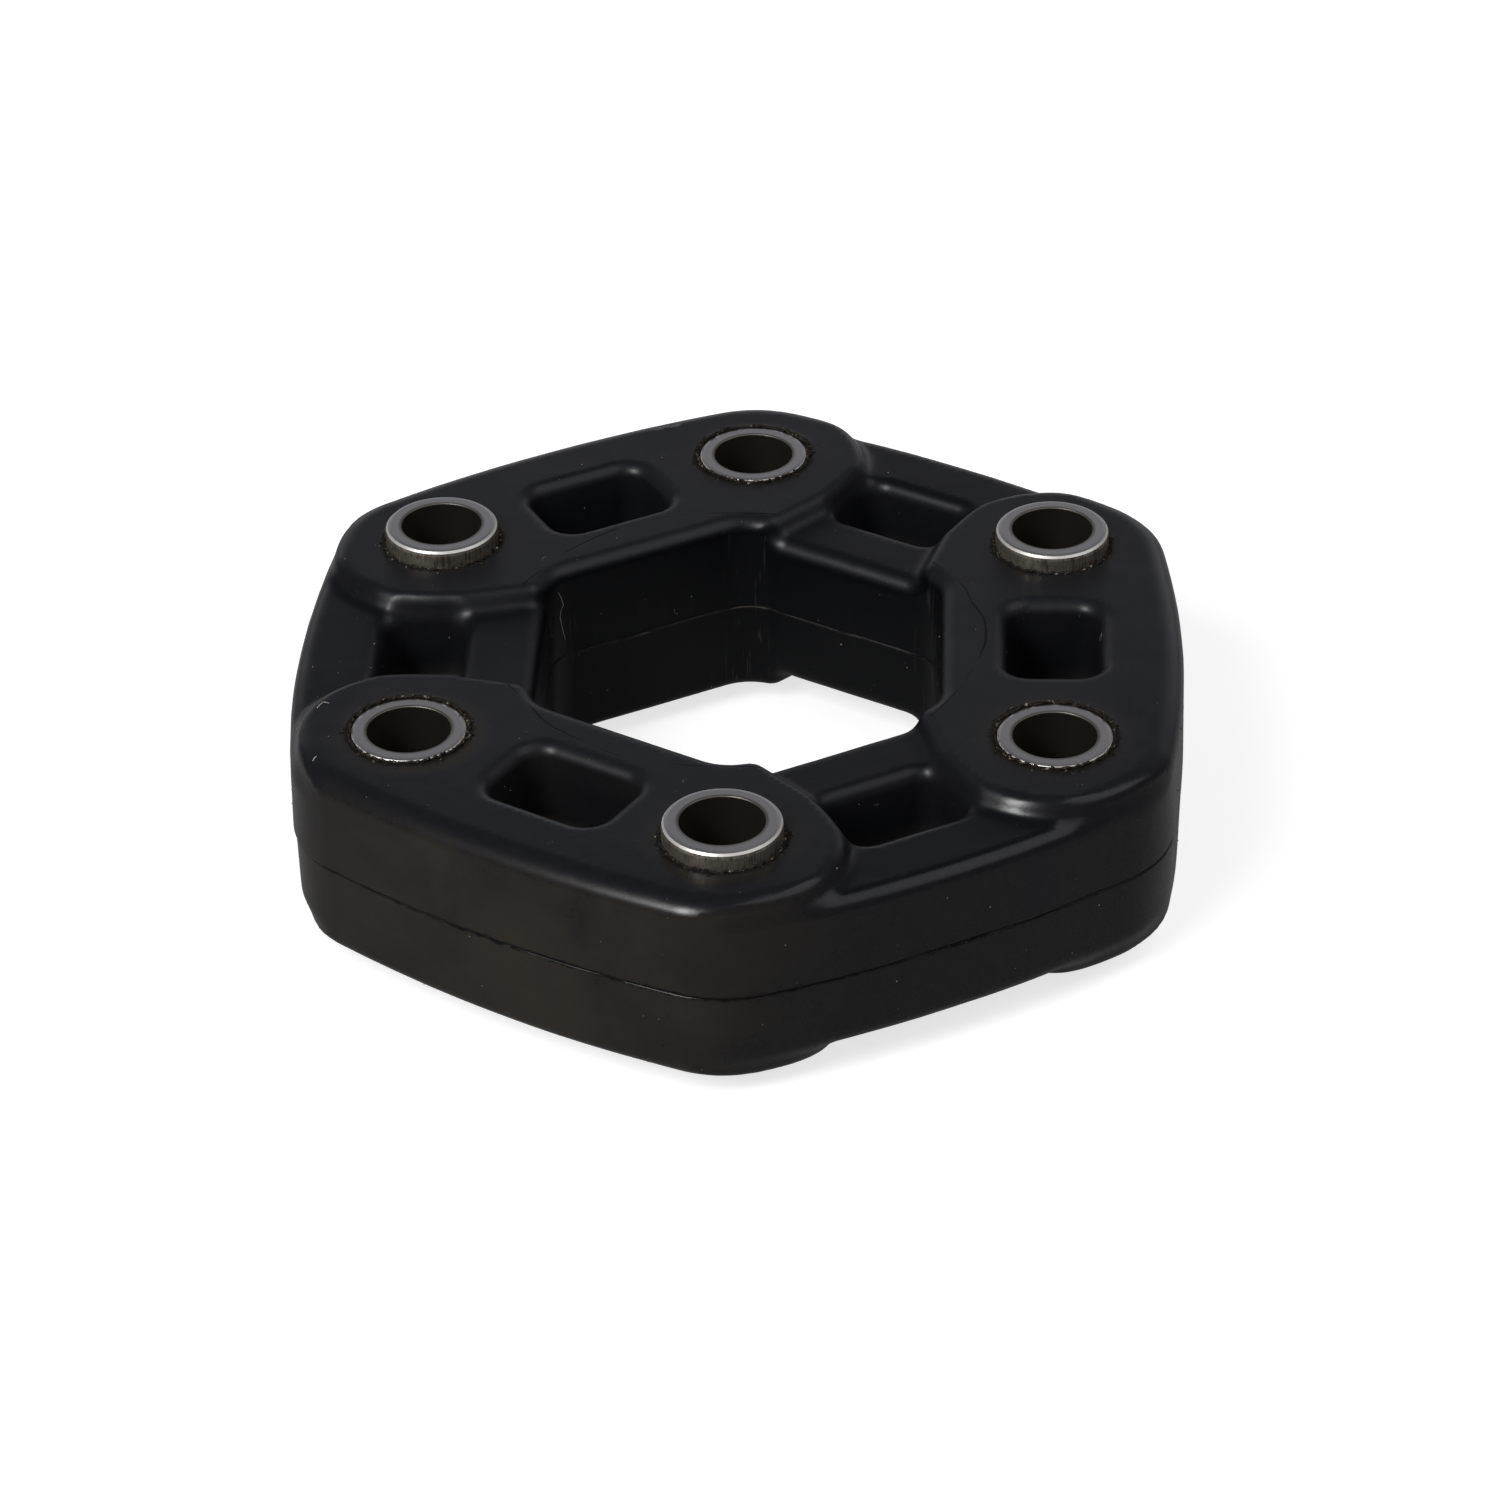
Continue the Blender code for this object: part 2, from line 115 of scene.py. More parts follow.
def add(tree, kind, inputs=None, **settings):
    """Add a node, such as "Math" for ShaderNodeMath, set its properties, and fill or link its inputs.

    A node that is given as an input stands for its first output in use.
    """
    families = ("ShaderNode", "GeometryNode", "FunctionNode")
    node = tree.nodes.new(next(family + kind for family in families if hasattr(bpy.types, family + kind)))
    for name, value in settings.items():
        setattr(node, name, value)
    for key, value in (inputs or {}).items():
        if isinstance(value, bpy.types.Node):
            value = next(socket for socket in value.outputs if socket.enabled)
        if isinstance(value, bpy.types.NodeSocket):
            tree.links.new(value, node.inputs[key])
        else:
            node.inputs[key].default_value = value
    return node


def new_material(name):
    """A material with an empty tree, and the tree."""
    material = bpy.data.materials.new(name)
    material.use_nodes = True
    material.node_tree.nodes.clear()
    return material, material.node_tree


# %% [markdown]
# ## Studio
#
# The disc stands on its three lower sleeves on a pale table. A black part is drawn by what it mirrors.
# One soft lamp at the front left lights the left walls, and a narrow one in the same place is seen only
# in mirror images, where it draws the bright rounding at the front corner. A wide weak lamp fills the
# right. Behind the disc stands a narrow white sweep under a dim ceiling, which puts a soft sheen on the
# upper faces and leaves the edges beside it dark. The camera sees the table and the sky as white, and
# mirror rays see a dimmer table, as if the paper ended a little way from the disc.

# %% Table and sky
table_mesh = bpy.data.meshes.new("table")
REACH = 12.0
table_z = cad_low.z
corners = [(x * REACH, y * REACH, table_z) for x, y in ((-1, -1), (1, -1), (1, 1), (-1, 1))]
table_mesh.from_pydata(corners, [], [(0, 1, 2, 3)])
table = bpy.data.objects.new("table", table_mesh)
bpy.context.scene.collection.objects.link(table)

table_material, tree = new_material("white_laminate_table")
path = add(tree, "LightPath")
mirrored = add(tree, "Math", {0: path.outputs["Is Glossy Ray"], 1: path.outputs["Is Transmission Ray"]},
    operation="MAXIMUM")
dimmed = add(tree, "Math", {0: mirrored, 1: 0.10}, operation="MULTIPLY")
lift = add(tree, "Math", {0: path.outputs["Is Camera Ray"], 1: 0.74, 2: dimmed}, operation="MULTIPLY_ADD")
laminate = add(tree, "Mix", {0: mirrored, 6: linear("#bcbcbc"), 7: linear("#8e8e8e")}, data_type="RGBA")
matt = add(tree, "BsdfDiffuse", {"Color": laminate})
glow = add(tree, "Emission", {"Color": (1.0, 1.0, 1.0, 1.0), "Strength": lift})
both = add(tree, "AddShader", {0: matt, 1: glow})
add(tree, "OutputMaterial", {"Surface": both})
table_mesh.materials.append(table_material)

world = bpy.data.worlds.new("white_sweep_and_dim_ceiling")
bpy.context.scene.world = world
world.use_nodes = True
tree = world.node_tree
tree.nodes.clear()
ray = add(tree, "TexCoord")
way = add(tree, "SeparateXYZ", {0: ray.outputs["Generated"]})
below = add(tree, "MapRange", {"Value": way.outputs["Z"], "From Min": 0.80, "From Max": 0.0},
    interpolation_type="SMOOTHSTEP")
behind = add(tree, "MapRange", {"Value": way.outputs["Y"], "From Min": -0.10, "From Max": 0.50},
    interpolation_type="SMOOTHSTEP")
aside = add(tree, "Math", {0: way.outputs["X"]}, operation="ABSOLUTE")
narrow = add(tree, "MapRange", {"Value": aside, "From Min": 0.76, "From Max": 0.46},
    interpolation_type="SMOOTHSTEP")
sweep = add(tree, "Math", {0: below, 1: behind}, operation="MULTIPLY")
sweep = add(tree, "Math", {0: sweep, 1: narrow}, operation="MULTIPLY")
shade = add(tree, "Mix", {0: sweep, 6: (0.10, 0.10, 0.105, 1.0), 7: (0.61, 0.61, 0.625, 1.0)},
    data_type="RGBA")
path = add(tree, "LightPath")
seen = add(tree, "Mix", {0: path.outputs["Is Camera Ray"], 6: shade, 7: (1.0, 1.0, 1.0, 1.0)},
    data_type="RGBA")
sky = add(tree, "Background", {"Color": seen, "Strength": 1.0})
add(tree, "OutputWorld", {"Surface": sky})


# %% Softboxes
def softbox(name, place, wide, tall, watts):
    """An area lamp that faces the disc."""
    lamp = bpy.data.lights.new(name, "AREA")
    lamp.shape = "RECTANGLE"
    lamp.size = wide
    lamp.size_y = tall
    lamp.energy = watts
    item = bpy.data.objects.new(name, lamp)
    aim = Vector(place).to_track_quat("Z", "Y").to_matrix().to_4x4()
    item.matrix_world = Matrix.Translation(place) @ aim
    bpy.context.scene.collection.objects.link(item)
    return item


KEY_PLACE = (-0.607, -0.747, 0.92)
key = softbox("front_left_softbox", KEY_PLACE, 0.60, 0.60, 12.5)
key.visible_glossy = False
softbox("right_fill_softbox", (0.72, -0.13, 1.04), 1.00, 1.00, 5.5)
glint = softbox("front_left_glint", KEY_PLACE, 0.09, 0.46, 19.0)
glint.visible_diffuse = False

# %% [markdown]
# ## Sizes of the rubber
#
# The CAD node of the rubber is faceted and hollow for the collars and loops. Its form follows a rule,
# so the fine one is made from the same sizes, in millimetres, some of them taken from the frame's boxes.

# %% Sizes of the rubber
rubber_low, rubber_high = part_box("rubber_body")
high_low, high_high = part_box("sleeve_1")
TURN = math.tau / 6.0
BOLT_RADIUS = 45.0
HALF_CHORD = BOLT_RADIUS * math.sin(TURN / 2.0)
CHORD = BOLT_RADIUS * math.cos(TURN / 2.0)
SLEEVE_RADIUS = (high_high.x - high_low.x) / 2.0 / MM
THICK = rubber_high.z / MM
THIN = THICK - 2.3
CORNER = 14.85
CROWN = 1.6
HOLE_FLAT = CHORD - 14.25
HOLE_CORNER = 5.5
DRAFT = math.tan(math.radians(1.2))
EDGE_THICK, EDGE_THIN, EDGE_INNER = 3.2, 2.3, 2.1
ISLAND = 14.35
ISLAND_EDGE, ISLAND_FOOT = 1.5, 2.0
WAIST = math.radians(14.0)
POCKET_LENGTH, POCKET_OUTER, POCKET_INNER_THIN = 8.15, 5.85, -4.55
POCKET_CORNER, POCKET_RIM, POCKET_FLOOR = 3.0, 1.9, 1.0
SEAT = SLEEVE_RADIUS - 0.75
WALL_INSET = 0.11
PARTING_GROOVE, PARTING_FIN = 0.24, 0.14
SLEEVE_LIP = 0.10
RIPPLE_SLOW, RIPPLE_FINE = 0.035, 0.012
print("rubber half height", round(THICK, 3), "mm, sleeve radius", round(SLEEVE_RADIUS, 3), "mm")

# %% [markdown]
# ## The rubber as a distance field
#
# A moulding with roundings that run into each other is hard to bevel but easy to describe: for any
# point, how far is it to the surface? Walls, faces, islands and pockets each give such a distance, and
# two small functions join them with a true round edge or a true fillet. Folding the plane by the
# disc's symmetry lets one link stand for all six.


# %% Joining distances
def round_cut(first, second, radius):
    """Keep what lies inside both forms, with the edge between them rounded."""
    reach = np.hypot(np.maximum(first + radius, 0.0), np.maximum(second + radius, 0.0))
    return np.minimum(-radius, np.maximum(first, second)) + reach


def round_join(first, second, radius):
    """Join two forms, with a fillet in the corner between them."""
    reach = np.hypot(np.maximum(radius - first, 0.0), np.maximum(radius - second, 0.0))
    return np.maximum(radius, np.minimum(first, second)) - reach


def ease(value, low, high):
    """Smooth step from 0 at low to 1 at high."""
    share = np.clip((value - low) / (high - low), 0.0, 1.0)
    return share * share * (3.0 - 2.0 * share)


def lattice_noise(x, y, z, pitch, seed):
    """Smooth noise from -1 to 1 whose bumps are about one pitch wide."""
    table_of_values = np.random.default_rng(seed).uniform(-1.0, 1.0, (24, 24, 24))
    total = 0.0
    low, share = [], []
    for axis in (x, y, z):
        place = np.asarray(axis) / pitch + 100.0
        cell = np.floor(place)
        low.append(cell.astype(int) % 24)
        rest = place - cell
        share.append(rest * rest * (3.0 - 2.0 * rest))
    for i in (0, 1):
        for j in (0, 1):
            for k in (0, 1):
                weight = (share[0] if i else 1.0 - share[0]) * (share[1] if j else 1.0 - share[1])
                weight = weight * (share[2] if k else 1.0 - share[2])
                values = table_of_values[(low[0] + i) % 24, (low[1] + j) % 24, (low[2] + k) % 24]
                total = total + weight * values
    return total


# %% Folding the plane
def fold(x, y, sectors, offset):
    """Place along and outward from the nearest sector's middle line, and that sector's number."""
    angle = np.arctan2(y, x) - offset
    number = np.round(angle / (math.tau / sectors))
    turn = offset + number * (math.tau / sectors)
    along = -x * np.sin(turn) + y * np.cos(turn)
    outward = x * np.cos(turn) + y * np.sin(turn) - CHORD
    return along, outward, number.astype(int) % sectors


def outer_wall(along, outward):
    """Distance to the outer wall at mid height: a crowned side between two round corners."""
    crown = CORNER + CROWN
    side = (HALF_CHORD ** 2 + crown ** 2 - CORNER ** 2) / (2.0 * CROWN)
    limit = math.asin(HALF_CHORD / (side - CORNER))
    rise = outward - (crown - side)
    on_side = np.arctan2(np.abs(along), rise) <= limit
    in_corner = np.hypot(np.abs(along) - HALF_CHORD, outward) - CORNER
    return np.where(on_side, np.hypot(along, rise) - side, in_corner)


def hole_wall(along, outward):
    """Distance to the wall of the hexagonal hole at mid height, seen from the rubber."""
    reach = outward + CHORD
    centre = HOLE_FLAT - HOLE_CORNER
    half = centre * math.tan(TURN / 2.0)
    in_corner = np.hypot(np.abs(along) - half, reach - centre) - HOLE_CORNER
    return -np.where(np.abs(along) <= half, reach - HOLE_FLAT, in_corner)


def island_edge(x, y):
    """Distance to the edge of the thick links' ends, measured in plan."""
    along, outward, _ = fold(x, y, 3, TURN)
    into = HALF_CHORD - np.abs(along)
    angle = np.arctan2(outward, into)
    upper = math.pi / 2.0 + WAIST
    arc_part = np.hypot(into, outward) - ISLAND
    outer_line = into * math.cos(upper) + outward * math.sin(upper) - ISLAND
    waist_line = into * math.cos(WAIST) - outward * math.sin(WAIST) - ISLAND
    return np.where(angle > upper, outer_line, np.where(angle < -WAIST, waist_line, arc_part))


# %% [markdown]
# ## Wear, dents and the mould's parting line
#
# The two mould halves met at mid height. Outside they left a fine dark step, and inside the hole a thin
# pale fin. The lower half also sits a little further in on the left. Real rubber is never quite flat
# either, so a slow ripple of a few hundredths of a millimetre goes over everything, and two small nicks
# are cut in the rim of the far link, where the photograph shows one torn spot.

# %% The rubber's field
NICKS = [
    (-12.9, 53.2, 13.5, 1.25),
    (-11.2, 53.7, 13.4, 1.10),
]


def parting_step(x, y):
    """How far the lower half sits in: most at the left, a little everywhere else."""
    left = np.cos(np.arctan2(y, x) - math.radians(190.0))
    return 0.06 + 0.22 * ease(left, 0.55, 0.98)


def rubber_field(x, y, z):
    """Signed distance in millimetres to the rubber's surface, negative inside."""
    along, outward, link = fold(x, y, 6, 0.0)
    height = np.abs(z)
    thick = link % 2 == 0
    draw = height * DRAFT
    line = z + 0.10 * lattice_noise(x, y, 0.0, 6.0, 3)
    outside = outer_wall(along, outward) + draw + WALL_INSET
    outside = outside + parting_step(x, y) * ease(-line, 0.0, 0.14)
    outside = outside + PARTING_GROOVE * np.exp(-(line / 0.15) ** 2)
    inside = hole_wall(along, outward) + draw - PARTING_FIN * np.exp(-(line / 0.10) ** 2)
    walls = np.maximum(outside, inside)
    island = island_edge(x, y)
    sleeve_gap = np.hypot(np.abs(along) - HALF_CHORD, outward)
    lip = SLEEVE_LIP * np.exp(-((sleeve_gap - SLEEVE_RADIUS) / 0.7) ** 2)
    raised = round_cut(height - THICK - lip, island, ISLAND_EDGE)
    faces = round_join(height - THIN, raised, ISLAND_FOOT)
    edge_thick = EDGE_INNER + (EDGE_THICK - EDGE_INNER) * ease(outside - inside, -3.0, 3.0)
    edge = EDGE_THIN + (edge_thick - EDGE_THIN) * ease(-island, -1.0, 1.0)
    body = round_cut(walls, faces, edge)
    body = round_cut(body, -pocket(along, outward, height, thick), POCKET_RIM)
    for nick_x, nick_y, nick_z, radius in NICKS:
        bite = np.sqrt((x - nick_x) ** 2 + (y - nick_y) ** 2 + (z - nick_z) ** 2) - radius
        body = round_cut(body, -bite, 0.35)
    ripple = RIPPLE_SLOW * lattice_noise(x, y, z, 9.0, 1) + RIPPLE_FINE * lattice_noise(x, y, z, 2.6, 2)
    return np.maximum(body + ripple, SEAT - sleeve_gap)


def pocket(along, outward, height, thick):
    """Distance to one blind pocket: a drafted round-cornered box down to the middle web."""
    inner = np.where(thick, -POCKET_OUTER, POCKET_INNER_THIN)
    middle = (POCKET_OUTER + inner) / 2.0
    half = (POCKET_OUTER - inner) / 2.0
    face = np.where(thick, THICK, THIN)
    across = np.abs(outward - middle) - (half - POCKET_CORNER)
    length = np.abs(along) - (POCKET_LENGTH - POCKET_CORNER)
    corner = np.hypot(np.maximum(across, 0.0), np.maximum(length, 0.0))
    wall = corner + np.minimum(np.maximum(across, length), 0.0) - POCKET_CORNER
    return round_cut(wall + (face - height) * DRAFT, POCKET_FLOOR - height, 1.0)


# %% [markdown]
# ## From field to mesh
#
# The field is sampled on a grid, and a surface net puts one vertex in every cell that the surface
# crosses and one quad across every grid edge that it cuts. The grid is finer at the parting line and
# at the faces, where the small roundings are, and coarser down the plain walls. Each vertex is then
# slid onto the exact surface along the field's slope, and that slope is also kept as its normal, so
# reflections run smoothly over the roundings.


# %% Surface net
def surface_net(values, xs, ys, zs):
    """Vertices and quads of the surface where the sampled distances change sign."""
    inside = values < 0.0
    shape = tuple(n - 1 for n in values.shape)
    total = np.zeros(shape + (3,))
    count = np.zeros(shape)
    grids = [xs, ys, zs]
    for axis in range(3):
        others = [a for a in range(3) if a != axis]
        for shift in ((0, 0), (0, 1), (1, 0), (1, 1)):
            near = [slice(0, n) for n in shape]
            for other, step in zip(others, shift):
                near[other] = slice(step, step + shape[other])
            far = list(near)
            far[axis] = slice(1, shape[axis] + 1)
            first, second = values[tuple(near)], values[tuple(far)]
            cells = np.nonzero((first < 0.0) != (second < 0.0))
            share = first[cells] / (first[cells] - second[cells])
            count[cells] += 1.0
            for k in range(3):
                index = cells[k] + (shift[others.index(k)] if k in others else 0)
                place = grids[k][index]
                if k == axis:
                    place = place + share * (grids[k][index + 1] - place)
                total[cells + (np.full(len(cells[0]), k),)] += place
    used = count > 0.0
    number = np.full(shape, -1)
    number[used] = np.arange(int(used.sum()))
    points = total[used] / count[used][:, None]
    quads = []
    for axis in range(3):
        near = [slice(1, n) for n in shape]
        far = list(near)
        near[axis] = slice(0, shape[axis])
        far[axis] = slice(1, shape[axis] + 1)
        first, second = inside[tuple(near)], inside[tuple(far)]
        cells = np.array(np.nonzero(first != second)).T
        others = [a for a in range(3) if a != axis]
        cells[:, others] += 1
        outward = first[first != second]
        corner = []
        for step in ((0, 0), (1, 0), (1, 1), (0, 1)):
            place = cells.copy()
            place[:, others[0]] -= step[0]
            place[:, others[1]] -= step[1]
            corner.append(number[tuple(place.T)])
        quad = np.stack(corner, axis=1)
        flip = outward if axis == 1 else ~outward
        quad[flip] = quad[flip][:, ::-1]
        quads.append(quad)
    return points, np.concatenate(quads)


def slope(points):
    """Gradient of the rubber's field at some points."""
    step = 0.03
    parts = []
    for axis in range(3):
        shift = np.zeros(3)
        shift[axis] = step
        parts.append(rubber_field(*(points + shift).T) - rubber_field(*(points - shift).T))
    return np.stack(parts, axis=1) / (2.0 * step)


def mesh_from_arrays(name, points, faces):
    """A mesh from arrays of points in metres and of quads."""
    mesh = bpy.data.meshes.new(name)
    mesh.vertices.add(len(points))
    mesh.vertices.foreach_set("co", points.astype(np.float32).ravel())
    mesh.loops.add(faces.size)
    mesh.loops.foreach_set("vertex_index", faces.astype(np.int32).ravel())
    mesh.polygons.add(len(faces))
    mesh.polygons.foreach_set("loop_start", np.arange(0, faces.size, faces.shape[1], dtype=np.int32))
    mesh.update(calc_edges=True)
    mesh.validate()
    return mesh


# %% Sample the field and build the rubber
PITCH = 0.72
plan_reach = max(rubber_high.x, rubber_high.y, -rubber_low.x, -rubber_low.y) / MM + 2.0 * PITCH
plan = np.arange(-plan_reach, plan_reach, PITCH)
near_line = [0.07, 0.22, 0.55, 1.0, 1.6, 2.4]
wall_heights = np.concatenate([near_line, np.arange(3.3, 7.9, 0.95), np.arange(8.2, THICK + 1.2, 0.52)])
heights = np.concatenate([-wall_heights[::-1], wall_heights])
grid = np.meshgrid(plan, plan, heights, indexing="ij")
points, quads = surface_net(rubber_field(*grid), plan, plan, heights)
for attempt in range(4):
    way = slope(points)
    steepness = np.maximum((way ** 2).sum(axis=1), 0.2)
    push = way * (rubber_field(*points.T) / steepness)[:, None]
    on_line = np.abs(points[:, 2]) < 0.4
    push[on_line, 2] = 0.0
    points = points - np.clip(push, -0.4, 0.4)
normals = slope(points)
normals /= np.linalg.norm(normals, axis=1)[:, None]
rubber_mesh = mesh_from_arrays("moulded_rubber", points * MM, quads)
rubber_mesh.shade_smooth()
off_field = float(np.abs(rubber_field(*points.T)).max())
print("rubber:", len(points), "vertices,", len(quads), "quads, at most", round(off_field, 3),
    "mm off the field")

# %% [markdown]
# ## What the surface remembers
#
# The finish depends on where a point lies: rust stains gather near the sleeves, bloom and dirt in
# hollows, and hairline cracks follow the buried cord loops. Each of these is easy to work out on the
# points once and hard to guess in a shader, so they are stored as attributes for the material to read.

# %% Attributes of the rubber
x, y, z = points.T
along, outward, link = fold(x, y, 6, 0.0)
sleeve_gap = np.hypot(np.abs(along) - HALF_CHORD, outward)
probe = 2.5
ahead = rubber_field(*(points + normals * probe).T) / probe
behind = rubber_field(*(points - normals * probe).T) / probe
below = np.where(link % 2 == 0, THICK, THIN) - np.abs(z)
in_pocket = (np.abs(outward) < POCKET_OUTER + 0.6) & (np.abs(along) < POCKET_LENGTH + 0.6)
hole_side = ease(-np.hypot(x, y), -34.0, -30.0)
remembered = {
    "from_sleeve": sleeve_gap,
    "hollow": np.clip(1.0 - ahead, 0.0, 1.0),
    "ridge": np.clip(1.0 + behind, 0.0, 1.0),
    "crack": outward + 8.5 + 0.021 * along ** 2 + 0.35 * lattice_noise(x, y, 0.0, 4.0, 5),
    "raised": ease(-island_edge(x, y), -1.2, 0.4),
    "outer_side": ease(outward, POCKET_OUTER + 0.4, POCKET_OUTER + 1.8),
    # Highest on the walls that face the front left: a brown stain, and partly painted light on the side the
    # key lamp lights
    "stain": ease(np.cos(np.arctan2(y, x) - math.radians(243.0)), 0.70, 0.97),
    # How far down a pocket a point lies, used for painted shade that darkens the pockets towards the floor
    "depth": np.where(in_pocket, 0.35 * ease(below, 0.8, 6.0), 0.0),
    "inner_corner": ease(np.abs(along), 9.5, 12.5),
    "inner_wall": hole_side * ease(-np.abs(normals[:, 2]), -0.8, -0.4),
}
for name, values in remembered.items():
    attribute = rubber_mesh.attributes.new(name, "FLOAT", "POINT")
    attribute.data.foreach_set("value", values.astype(np.float32))
rubber = bpy.data.objects.new("moulded_rubber", rubber_mesh)
bpy.context.scene.collection.objects.link(rubber)
rubber_mesh.normals_split_custom_set_from_vertices(normals.tolist())
print("hollow up to", round(float((1.0 - ahead).max()), 2), "ridge up to",
    round(float((1.0 + behind).max()), 2))

# %% [markdown]
# ## Trees that grow small pieces
#
# What repeats is left to Geometry Nodes. A tree has named inputs, a modifier runs it on an empty
# object, and the evaluated result is copied into a plain mesh, so nothing live is left on the piece.


# %% Helpers for Geometry Nodes
def new_tree(name, inputs):
    """A Geometry Nodes tree with named inputs, and the sockets that give them."""
    tree = bpy.data.node_groups.new(name, "GeometryNodeTree")
    tree.interface.new_socket("Geometry", in_out="INPUT", socket_type="NodeSocketGeometry")
    for label, kind, value in inputs:
        socket = tree.interface.new_socket(label, in_out="INPUT", socket_type="NodeSocket" + kind)
        if value is not None:
            socket.default_value = value
    tree.interface.new_socket("Geometry", in_out="OUTPUT", socket_type="NodeSocketGeometry")
    return tree, tree.nodes.new("NodeGroupInput").outputs


def close_tree(tree, geometry, material):
    """Make a tree's instances real, give them their material, and lead them out."""
    real = add(tree, "RealizeInstances", {"Geometry": geometry})
    finished = add(tree, "SetMaterial", {"Geometry": real, "Material": material})
    tree.links.new(finished.outputs[0], tree.nodes.new("NodeGroupOutput").inputs[0])


def grow(name, tree, values, start=None):
    """Run a tree on a mesh, keep the result as a plain mesh, and return its object."""
    source = bpy.data.objects.new(name + "_source", start or bpy.data.meshes.new(name + "_start"))
    bpy.context.scene.collection.objects.link(source)
    modifier = source.modifiers.new("grow", "NODES")
    modifier.node_group = tree
    for item in tree.interface.items_tree:
        if item.in_out == "INPUT" and item.name in values:
            modifier[item.identifier] = values[item.name]
    graph = bpy.context.evaluated_depsgraph_get()
    mesh = bpy.data.meshes.new_from_object(source.evaluated_get(graph))
    mesh.name = name
    bpy.data.objects.remove(source)
    piece = bpy.data.objects.new(name, mesh)
    bpy.context.scene.collection.objects.link(piece)
    triangles = sum(len(p.vertices) - 2 for p in mesh.polygons)
    print(name, triangles, "triangles")
    return piece


# %% [markdown]
# ## Bolt sleeves
#
# The sleeves are cut from tube and turned at the ends: a flat face, a small chamfer outside and one at
# the bore. A lathe turns a profile round an axis, and so does Curve to Mesh: a rectangle with filleted
# corners follows a circle. Six points carry the copies, every second one shifted down.

# %% Tree of the bolt sleeves
tree, given = new_tree("turned_sleeves", [
    ("Bolt circle radius", "Float", 0.045),
    ("Bore radius", "Float", 0.0051),
    ("Wall", "Float", 0.00195),
    ("Length", "Float", 0.028),
    ("Stagger", "Float", 0.001),
    ("Chamfer", "Float", 0.0007),
    ("Bore chamfer", "Float", 0.0002),
    ("Facets", "Int", 96),
    ("Steel", "Material", None),
])
half_wall = add(tree, "Math", {0: given["Wall"], 1: 0.5}, operation="MULTIPLY")
mean_radius = add(tree, "Math", {0: given["Bore radius"], 1: half_wall}, operation="ADD")
profile = add(tree, "CurvePrimitiveQuadrilateral", {"Width": given["Wall"], "Height": given["Length"]},
    mode="RECTANGLE")
corner_place = add(tree, "SeparateXYZ", {0: add(tree, "InputPosition")})
bore_side = add(tree, "Compare", {0: corner_place.outputs["X"], 1: 0.0}, data_type="FLOAT",
    operation="LESS_THAN")
chamfer = add(tree, "Switch", {0: bore_side, 1: given["Chamfer"], 2: given["Bore chamfer"]},
    input_type="FLOAT")
filleted = add(tree, "FilletCurve", {"Curve": profile, "Count": 3, "Radius": chamfer}, mode="POLY")
path = add(tree, "CurvePrimitiveCircle", {"Resolution": given["Facets"], "Radius": mean_radius},
    mode="RADIUS")
upright = add(tree, "SetCurveNormal", {"Curve": path}, mode="Z_UP")
turned = add(tree, "CurveToMesh", {"Curve": upright, "Profile Curve": filleted})
here = add(tree, "InputPosition")
marked = add(tree, "StoreNamedAttribute", {"Geometry": turned, "Name": "sleeve_place", "Value": here},
    data_type="FLOAT_VECTOR", domain="POINT")
ring = add(tree, "MeshCircle", {"Vertices": 6, "Radius": given["Bolt circle radius"]})
turned_ring = add(tree, "Transform", {"Geometry": ring, "Rotation": (0.0, 0.0, TURN / 2.0)})
index = add(tree, "InputIndex")
odd = add(tree, "Math", {0: index, 1: 2.0}, operation="MODULO")
sign = add(tree, "Math", {0: odd, 1: -2.0, 2: 1.0}, operation="MULTIPLY_ADD")
shift = add(tree, "Math", {0: sign, 1: given["Stagger"]}, operation="MULTIPLY")
offset = add(tree, "CombineXYZ", {"Z": shift})
points_up = add(tree, "SetPosition", {"Geometry": turned_ring, "Offset": offset})
copies = add(tree, "InstanceOnPoints", {"Points": points_up, "Instance": marked})
close_tree(tree, copies, given["Steel"])
sleeve_tree = tree

# %% [markdown]
# ## Turned steel
#
# Plain steel tube, faced on a lathe and left bare. The end faces are mid-grey with a fine sanded grain.
# The chamfers are given a paler, less metallic colour that stands in for their bright reflection, a
# painted highlight, so the rims read as light lines all round. The sides and bores have gone brown with
# surface rust that runs in upright streaks.

# %% Turned steel
steel, tree = new_material("turned_steel_with_surface_rust")
local = add(tree, "Attribute", attribute_name="sleeve_place")
object_place = add(tree, "TexCoord")
shape = add(tree, "NewGeometry")
facing = add(tree, "SeparateXYZ", {0: shape.outputs["Normal"]})
flatness = add(tree, "Math", {0: facing.outputs["Z"]}, operation="ABSOLUTE")
side = add(tree, "MapRange", {"Value": flatness, "From Min": 0.55, "From Max": 0.25})
streak_place = add(tree, "Mapping", {"Vector": object_place.outputs["Object"], "Scale": (1.0, 1.0, 0.12)})
streaks = add(tree, "TexNoise", {"Vector": streak_place, "Scale": 2600.0, "Detail": 3.0, "Roughness": 0.6})
patches = add(tree, "TexNoise", {"Vector": object_place.outputs["Object"], "Scale": 420.0, "Detail": 4.0,
    "Roughness": 0.65})
rust_raw = add(tree, "Math", {0: streaks, 1: patches}, operation="ADD")
rust_cut = add(tree, "MapRange", {"Value": rust_raw, "From Min": 0.78, "From Max": 1.22})
rust = add(tree, "Math", {0: rust_cut, 1: side}, operation="MULTIPLY")
grain = add(tree, "TexNoise", {"Vector": object_place.outputs["Object"], "Scale": 5200.0, "Detail": 2.0})
face_tone = add(tree, "Mix", {0: grain, 6: linear("#a1a0a2"), 7: linear("#b5b4b6")}, data_type="RGBA")
